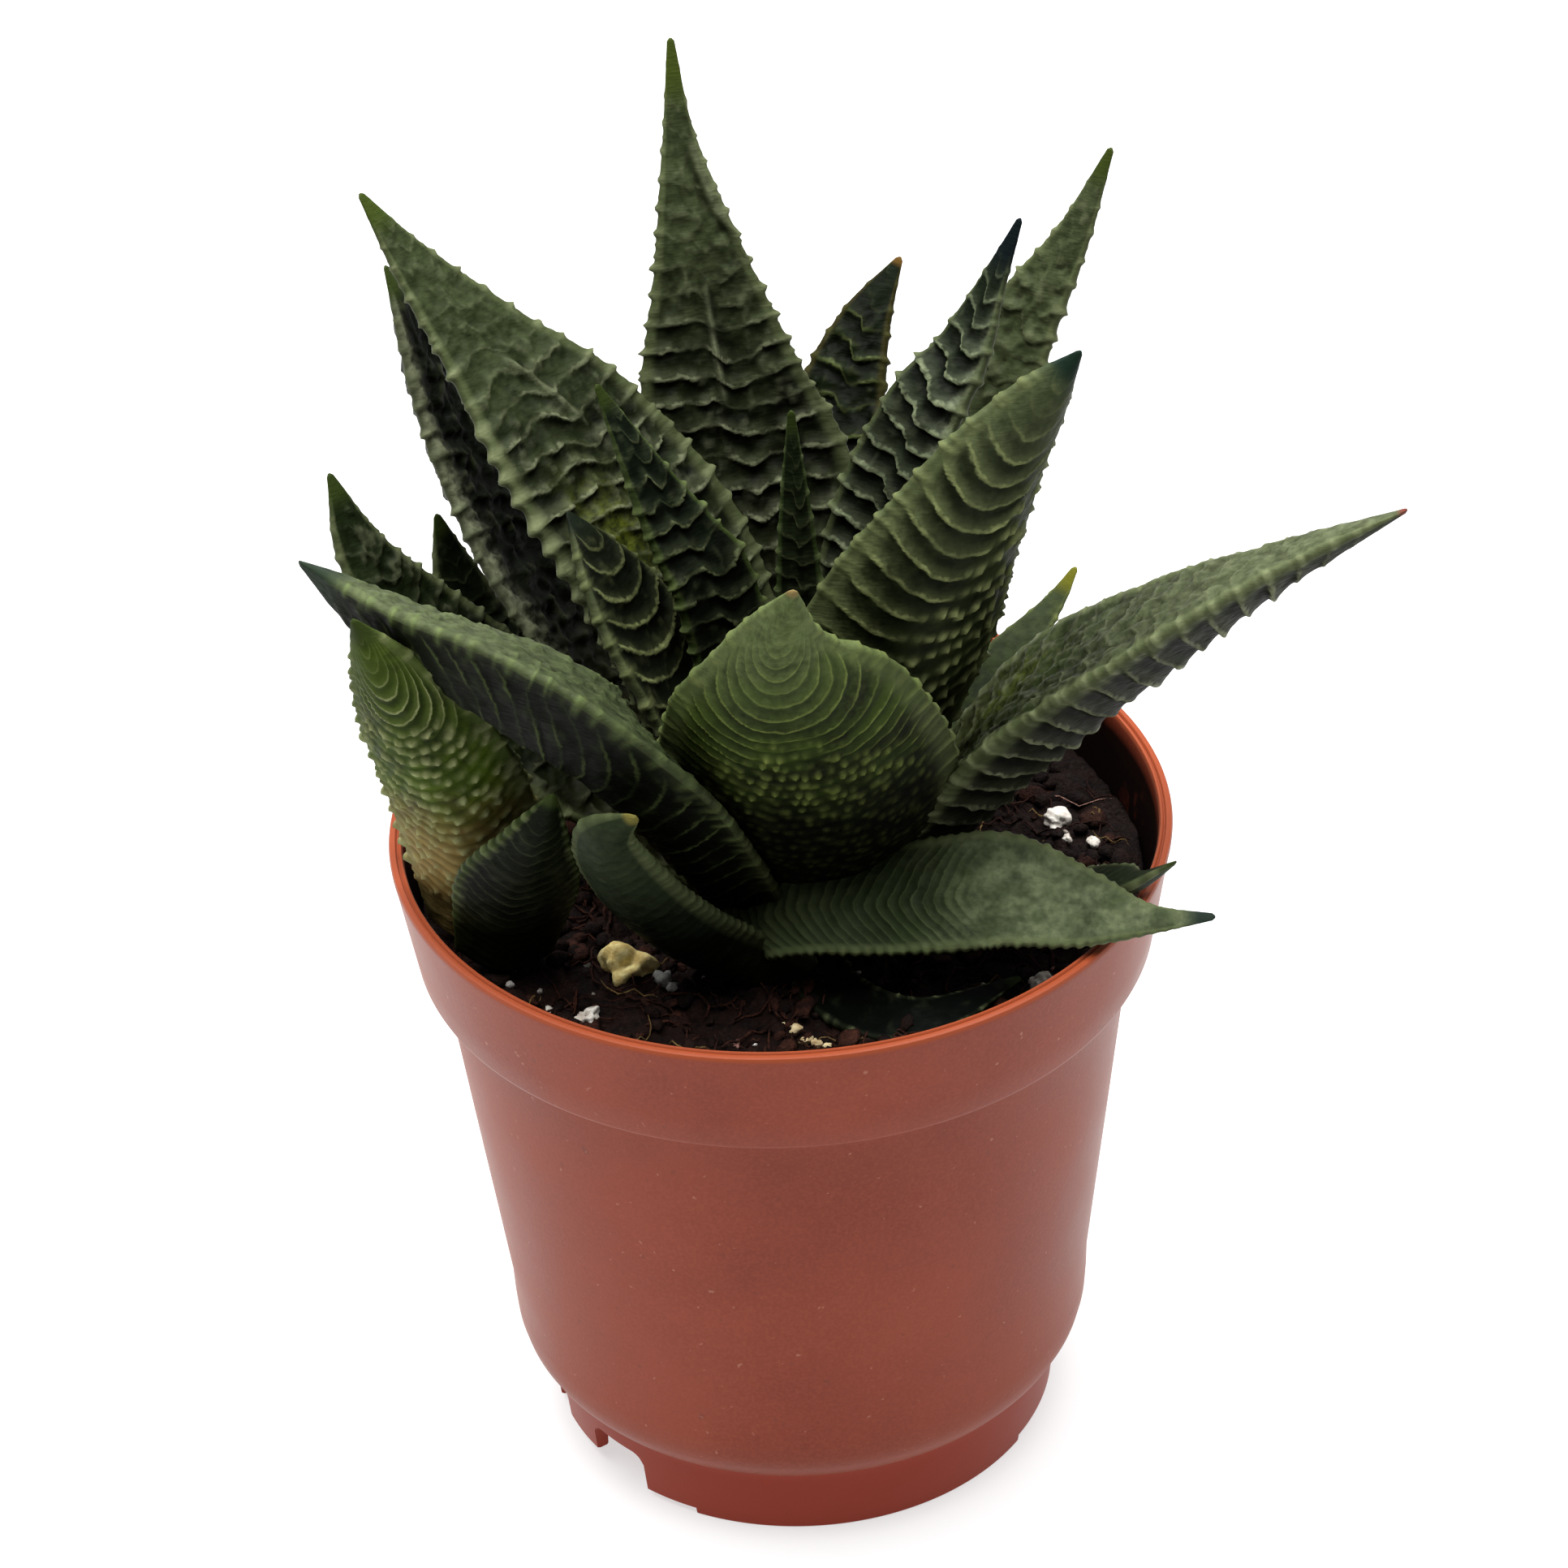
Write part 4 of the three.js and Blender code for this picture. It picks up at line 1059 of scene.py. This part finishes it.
def pot_section(bottom):
    """Radius and height of each point of the wall's section, from under the floor round to its top."""
    near = np.ones_like(bottom)
    inner = FOOT_RADIUS - WALL
    under_r = [
        CENTRE_RADIUS, FLOOR_MIDDLE_RADIUS, inner - 0.05, inner, inner + 0.1, FOOT_RADIUS - FOOT_BEVEL,
    ]
    under_z = [FLOOR_UNDER_Z * near] * 3 + [bottom + FOOT_BEVEL, bottom, bottom]
    ring_z = bottom + FOOT_BEVEL + (RING_TOP_Z - bottom - FOOT_BEVEL) * np.array(RING_SHARES)
    ring_r = FOOT_RADIUS + (RING_TOP_RADIUS - FOOT_RADIUS) * ring_z / SEAM_Z
    wall = np.array(POT_OUTSIDE)
    radius = np.hstack([near * np.array(under_r), ring_r, near * wall[:, 0]])
    return radius, np.hstack([*under_z, ring_z, near * wall[:, 1]])


def make_pot():
    """The pot's wall turned about its axis, and which of its faces are inside."""
    turns = pot_turns()
    radius, level = pot_section(foot_bottom(turns)[:, None])
    angle = np.radians(turns)[:, None]
    points = np.stack([radius * np.sin(angle), -radius * np.cos(angle), level], -1)
    rows, columns = points.shape[:2]
    order = np.transpose(points, (1, 0, 2)).reshape(-1, 3)
    faces = grid_faces(columns, rows)
    inside = np.arange(columns) >= columns - len(POT_OUTSIDE) + POT_OUTSIDE.index(INNER_EDGE)
    masks = dict(
        # lip and foot carry painted light; the inner wall's darkening below the rim is painted shade
        lip=level > LIP_FROM_Z, foot=(level < SEAM_Z - 0.1) & ~inside,
        stain=inside * smooth(*INNER_SHADE_BETWEEN, level), inside=inside & (level < LIP_FROM_Z + 0.1),
    )
    masks = {key: np.transpose(value).ravel() for key, value in masks.items()}
    within = masks.pop("inside")[faces].all(axis=1)
    return make_object("pot_shell", order, faces, masks, SHARP_ANGLE), within


# Soil
SOIL_LEVEL = 44.8
SOIL_SWELL = 0.55
SOIL_EDGE = 25.4
SOIL_SIDES = [(0.2, 5.2), (17.7, 5.2), (20, 12.5), (23.4, 40.2), (25, 42)]
SOIL_RINGS = 100
SOIL_SPOKES = 300


def soil_height(x, y):
    """Low waves of the soil."""
    waves = np.sin(0.55 * x + 1.3) * np.cos(0.47 * y - 0.4)
    waves = waves + 0.7 * np.sin(1.15 * x - 0.8 * y) + 0.5 * np.cos(1.7 * x + 1.2 * y + 2)
    return SOIL_LEVEL + SOIL_SWELL * waves / 2


def crumbled(x, y):
    """Soil surface with crumbs and clods."""
    clods = noise(x / 1.8, y / 1.8, 3) * 0.45
    crumbs = noise(x / 0.7, y / 0.7, 5) * 0.3 + noise(x / 0.32, y / 0.32, 6) * 0.16
    return soil_height(x, y) + clods + crumbs


def make_soil():
    """A crumbled top, and sides that lie inside the pot's wall."""
    radii = np.linspace(SOIL_EDGE, 0.15, SOIL_RINGS)
    angle = np.linspace(0, 2 * np.pi, SOIL_SPOKES, endpoint=False)
    x, y = radii[:, None] * np.cos(angle), radii[:, None] * np.sin(angle)
    top = np.stack([x, y, crumbled(x, y)], -1)
    r, z = np.array(SOIL_SIDES).T[:, :, None]
    lower = np.stack([r * np.cos(angle), r * np.sin(angle), z + 0 * angle], -1)
    points = np.concatenate([lower, top]).reshape(-1, 3)
    faces = grid_faces(len(SOIL_SIDES) + SOIL_RINGS, SOIL_SPOKES)
    return make_object("soil_surface", *capped(points, faces, SOIL_SPOKES))


# Loose bits on the soil: how far out they lie, and how finely and roughly they are made
BITS_SEED = 11
FIBRES_WITHIN = 0.97 * SOIL_EDGE
FIBRES_END_AT = 0.99 * SOIL_EDGE
FIBRE_SIDES = 5
FIBRE_POINTS = 9
CRUMBS_WITHIN = 0.96 * SOIL_EDGE
CRUMB_STEPS = 5
CRUMB_ROUGHNESS = 0.3
BIT_STEPS = 9
GRAIN_STEPS = 26
GRAIN_ROUGHNESS = 0.5


def tube(path, radius):
    """A thin closed tube along a path, tapering to its ends."""
    path = np.asarray(path, float)
    along = unit(np.gradient(path, axis=0))
    side = unit(np.cross(along, [0.31, 0.2, 0.93]))
    other = np.cross(along, side)
    turn = np.linspace(0, 2 * np.pi, FIBRE_SIDES, endpoint=False)
    count = len(path)
    taper = radius * np.sqrt(np.clip(1 - np.abs(np.linspace(-1, 1, count)) ** 4, 0.05, 1))[:, None, None]
    ring = side[:, None] * np.cos(turn)[None, :, None] + other[:, None] * np.sin(turn)[None, :, None]
    points = path[:, None] + ring * taper
    return points.reshape(-1, 3), grid_faces(count, FIBRE_SIDES)


def joined(parts):
    """Many small shapes as one."""
    points, faces, start = [], [], 0
    for some, squares in parts:
        points.append(some)
        faces.append(squares + start)
        start += len(some)
    return np.vstack(points), np.vstack(faces)


def scattered(rng, within):
    """A place drawn evenly from the disc of soil."""
    radius, turn = within * math.sqrt(rng.random()), rng.random() * 2 * math.pi
    return radius * math.cos(turn), radius * math.sin(turn)


def fibre_paths(rng, count, low, high, lift):
    """Curved fibres lying on the soil."""
    for _ in range(count):
        spot = np.array(scattered(rng, FIBRES_WITHIN))
        heading, curl = rng.random() * 2 * math.pi, rng.normal(0, 0.25)
        length = rng.uniform(low, high)
        path = []
        for _ in range(FIBRE_POINTS):
            if np.linalg.norm(spot) > FIBRES_END_AT:
                break
            path.append([*spot, float(crumbled(*spot)) + 0.05 + lift * rng.random()])
            spot = spot + length / (FIBRE_POINTS - 1) * np.array([math.cos(heading), math.sin(heading)])
            heading += curl
        if len(path) > 3:
            yield path


def make_fibres(name, seed, count, low, high, radius, lift):
    """Scattered fibres between two lengths, lying on the soil or lifted a little."""
    rng = np.random.default_rng(seed)
    paths = fibre_paths(rng, count, low, high, lift)
    parts = [tube(path, radius * rng.uniform(0.6, 1.3)) for path in paths]
    return make_object(name, *joined(parts))


def ball(steps):
    """A ball as a closed grid of squares: rows of latitude, pinched to tiny rings at its poles."""
    tilt = np.linspace(-88, 88, steps) * np.pi / 180
    turn = np.linspace(0, 2 * np.pi, 2 * steps, endpoint=False)
    points = np.stack([
        np.cos(tilt)[:, None] * np.cos(turn), np.cos(tilt)[:, None] * np.sin(turn),
        np.sin(tilt)[:, None] * np.ones_like(turn),
    ], -1).reshape(-1, 3)
    return capped(points, grid_faces(steps, 2 * steps), 2 * steps)


def lump(rng, centre, size, flat, steps, roughness):
    """An irregular crumb, chip or grain."""
    points, faces = ball(steps)
    shift = rng.random(3) * 40
    x, y, z = points.T
    rough = 1 + roughness * noise(1.6 * x + shift[0], 1.6 * y + 1.1 * z + shift[1])
    rough = rough + 0.5 * roughness * noise(3.4 * z + shift[2], 3.1 * x - y)
    points = points * rough[:, None] * np.array([1, flat[0], flat[1]]) * size
    spin, tilt = rng.random() * 2 * math.pi, rng.normal(0, 0.35)
    turned = Matrix.Rotation(spin, 3, "Z") @ Matrix.Rotation(tilt, 3, "X")
    return points @ np.array(turned).T + centre, faces


def make_crumbs(name, seed, count, low, high, flat):
    """Scattered crumbs between two sizes, sunk a little in the soil."""
    rng = np.random.default_rng(seed)
    parts = []
    for _ in range(count):
        x, y = scattered(rng, CRUMBS_WITHIN)
        size = rng.uniform(low, high)
        spot = np.array([x, y, float(crumbled(x, y)) + 0.3 * size])
        shape = rng.uniform(0.5, 0.9), flat * rng.uniform(0.7, 1.2)
        parts.append(lump(rng, spot, size, shape, CRUMB_STEPS, CRUMB_ROUGHNESS))
    return make_object(name, *joined(parts))


# Grains: the node each stands for, its place, size, and material
GRAINS = [
    ("grain_yellow", (-11, -10.3, 45.2), 1.75, "yellow"),
    ("grain_white_left", (-13.8, -15.5, 45.1), 0.85, "white"),
    ("grain_white_right", (19.7, 5.2, 45.1), 1.2, "white"),
    ("grain_white_front", (17.6, -14.6, 45.3), 1.05, "white"),
]

# Loose bits that lie at places of their own: x, y and size of each, by kind
BITS = dict(
    white=[(20.2, 2.4, 0.4), (22.1, 2.2, 0.5), (22, -0.6, 0.42), (-16.5, -13.4, 0.4), (17.9, -13.4, 0.5)],
    grey=[(-8.5, -11.7, 0.8), (-7.9, -12.3, 0.5)],
    straw=[
        (-0.4, -17.4, 0.35), (0.4, -18.3, 0.45), (1.1, -18.9, 0.5), (1.8, -19.3, 0.4), (2.5, -19.8, 0.35),
    ],
    pink=[(18.7, -12.2, 0.5), (-3.7, -19, 0.4)],
)
BIT_COLOURS = dict(
    white=[(240, 236, 226), (196, 184, 170)], grey=[(150, 150, 146), (96, 96, 92)],
    straw=[(226, 206, 160), (160, 134, 92)], pink=[(190, 140, 128), (130, 84, 74)],
)
HAIR = [(17.2, 7.9), (18.6, 7.6), (20, 7.4), (21.4, 7.3), (22.8, 7.2), (23.9, 7.1)]


def add_bits():
    """Bits and a hair that lie at places of their own."""
    rng = np.random.default_rng(BITS_SEED + 6)
    for kind, places in BITS.items():
        parts = []
        for x, y, size in places:
            spot = np.array([x, y, float(crumbled(x, y)) + 0.35 * size])
            parts.append(lump(rng, spot, size, (0.8, 0.65), BIT_STEPS, GRAIN_ROUGHNESS))
        material = grain_material("bits_" + kind, *BIT_COLOURS[kind])
        dress(make_object("soil_bits_" + kind, *joined(parts)), "grain_white", material)
    rise = np.sin(np.linspace(0, math.pi, len(HAIR)))
    path = [(x, y, float(crumbled(x, y)) + 0.05 + 0.5 * up) for (x, y), up in zip(HAIR, rise)]
    hair = make_object("soil_hair", *tube(path, 0.05))
    dress(hair, "soil", soil_material("hair_mix", (150, 110, 96), (190, 150, 136), 0.8))


def add_leaves():
    """The fine leaves, each in place of its node."""
    for number, leaf in enumerate(LEAVES):
        piece = make_leaf(leaf, 3 + 5 * number)
        material = leaf_material(leaf.name + "_skin", leaf.look)
        dress(piece, slot_of(leaf.name), material, leaf.name)


def add_pot():
    """The pot, with the inside of its wall, painted dark with shade, as a duller material."""
    pot, within = make_pot()
    dress(pot, "pot", pot_material("pot_plastic", 0.12, 0.06), "pot")
    pot.data.materials.append(pot_material("pot_inside", 0.03, 0))
    pot.data.polygons.foreach_set("material_index", within.astype(np.int32))


def add_soil():
    """The soil with its scattered fibres, crumbs, chips and specks."""
    soil = soil_material("soil_mix", (12, 6, 5), (38, 22, 17), 1.6)
    bark = soil_material("bark_mix", (26, 13, 10), (72, 41, 30), 1.1)
    straw = soil_material("straw_mix", (96, 74, 44), (150, 124, 78), 0.8)
    white = grain_material("perlite", (226, 222, 214), (150, 140, 130))
    dress(make_soil(), "soil", soil, "soil")
    dress(make_fibres("soil_fibres", BITS_SEED, 420, 2, 7, 0.09, 0.5), "soil", bark)
    dress(make_fibres("soil_straws", BITS_SEED + 1, 60, 1.5, 5, 0.08, 0.7), "soil", straw)
    dress(make_crumbs("soil_crumbs", BITS_SEED + 2, 420, 0.3, 0.9, 0.6), "soil", soil)
    dress(make_crumbs("soil_chips", BITS_SEED + 3, 150, 0.4, 1.2, 0.3), "soil", bark)
    dress(make_crumbs("soil_specks", BITS_SEED + 4, 60, 0.12, 0.34, 0.8), "grain_white", white)


def add_grains():
    """The four large grains that stand for nodes."""
    kinds = dict(
        yellow=grain_material("pumice_yellow", (252, 238, 168), (210, 182, 108)),
        white=grain_material("pumice_white", (238, 234, 224), (190, 178, 166)),
    )
    rng = np.random.default_rng(BITS_SEED + 5)
    for node, place, size, kind in GRAINS:
        points, faces = lump(rng, np.array(place), size, (0.8, 0.7), GRAIN_STEPS, GRAIN_ROUGHNESS)
        dress(make_object(node + "_fine", points, faces), slot_of(node), kinds[kind], node)


def add_stems():
    """The look of the two stems, which keep their own shapes."""
    skin = dict(GREEN, flesh=(38, 46, 24), pale=(44, 52, 28), bloom=(50, 58, 32))
    material = leaf_material("stem_skin", skin)
    for node in ("stem_main", "stem_offset"):
        stem = frame["nodes"][node].data
        stem.materials.clear()
        stem.materials.append(material)


# Studio
FLOOR_SIZE = 3
FLOOR_SQUARES = 8
FLOOR_GREYS = (0.34, 0.34, 0.34, 1), (0.37, 0.37, 0.37, 1)
FLOOR_GLOW = 0.6
WHITE = (1, 1, 1, 1)
BLACK = (0, 0, 0, 1)
SKY_STRENGTH = 0.95
LAMP_PLACE = Vector((AXIS_X - 0.05, AXIS_Y + 0.08, 0.75))
LAMP_AIM = Vector((AXIS_X, AXIS_Y, 0.06))
LAMP_SIZE = 1
LAMP_POWER = 20


def add_floor():
    """Pale paper that glows a little, so that it stays white."""
    half = FLOOR_SIZE / MM / 2
    corners = np.linspace(-half, half, FLOOR_SQUARES + 1)
    x, y = np.meshgrid(corners, corners)
    points = np.stack([x, y, np.zeros_like(x)], -1).reshape(-1, 3)
    floor = make_object("floor", points, grid_faces(len(corners), len(corners), closed=False))
    material, tree, shader = new_material("floor_paper")
    paper = grainy(tree, place_in(tree), 30, 2)
    tree.links.new(mixed(tree, paper, *FLOOR_GREYS), shader.inputs["Base Color"])
    shader.inputs["Roughness"].default_value = 0.9
    shader.inputs["Emission Color"].default_value = WHITE
    shader.inputs["Emission Strength"].default_value = FLOOR_GLOW
    floor.data.materials.append(material)


def add_world():
    """A white room, dimmer on the side that the picture is taken from."""
    world = bpy.data.worlds.new("studio")
    bpy.context.scene.world = world
    world.use_nodes = True
    tree = world.node_tree
    tree.nodes.clear()
    parts = new_node(tree, "SeparateXYZ", new_node(tree, "TexCoord").outputs["Generated"])
    front = ranged(tree, parts.outputs[1], -0.7, 0.3, 0.12, 1)
    height = ranged(tree, parts.outputs[2], 0, 0.9, 0.4, 1)
    light = mixed(tree, product(tree, front, height), BLACK, WHITE)
    new_node(tree, "OutputWorld", new_node(tree, "Background", light, SKY_STRENGTH).outputs[0])


def add_lamp():
    """A large round soft lamp above and behind the plant."""
    lamp = bpy.data.lights.new("softbox", "AREA")
    lamp.shape = "DISK"
    lamp.size = LAMP_SIZE
    lamp.energy = LAMP_POWER
    holder = placed("softbox", lamp)
    holder.location = LAMP_PLACE
    holder.rotation_euler = (LAMP_AIM - LAMP_PLACE).to_track_quat("-Z", "Y").to_euler()


def add_camera():
    """The camera, set back from its target and then turned about its own three axes."""
    tilt = math.radians(CAMERA_ELEVATION)
    back = Vector((0, -math.cos(tilt), math.sin(tilt)))
    right = Vector((1, 0, 0))
    axes = [right, right.cross(-back), -back]
    for place, degrees in ((1, CAMERA_YAW), (0, CAMERA_PITCH), (2, CAMERA_ROLL)):
        turn = Matrix.Rotation(math.radians(degrees), 3, axes[place])
        axes = [axis if at == place else turn @ axis for at, axis in enumerate(axes)]
    data = bpy.data.cameras.new("camera")
    data.sensor_fit = "HORIZONTAL"
    data.sensor_width = SENSOR
    data.lens = FOCAL_PIXELS * SENSOR / PICTURE_PIXELS
    data.clip_start, data.clip_end = CLIP_BETWEEN
    stand = Matrix((axes[0], axes[1], -axes[2])).transposed().to_4x4()
    stand.translation = Vector(to_model(Vector((0, 0, TARGET_HEIGHT)) + back * CAMERA_DISTANCE))
    camera = placed("camera", data)
    camera.matrix_world = stand
    bpy.context.scene.camera = camera


add_camera()
add_world()
add_floor()
add_lamp()
add_pot()
add_soil()
add_grains()
add_bits()
add_stems()
add_leaves()

bpy.context.scene.view_settings.view_transform = "Standard"
bpy.context.scene.view_settings.look = "None"
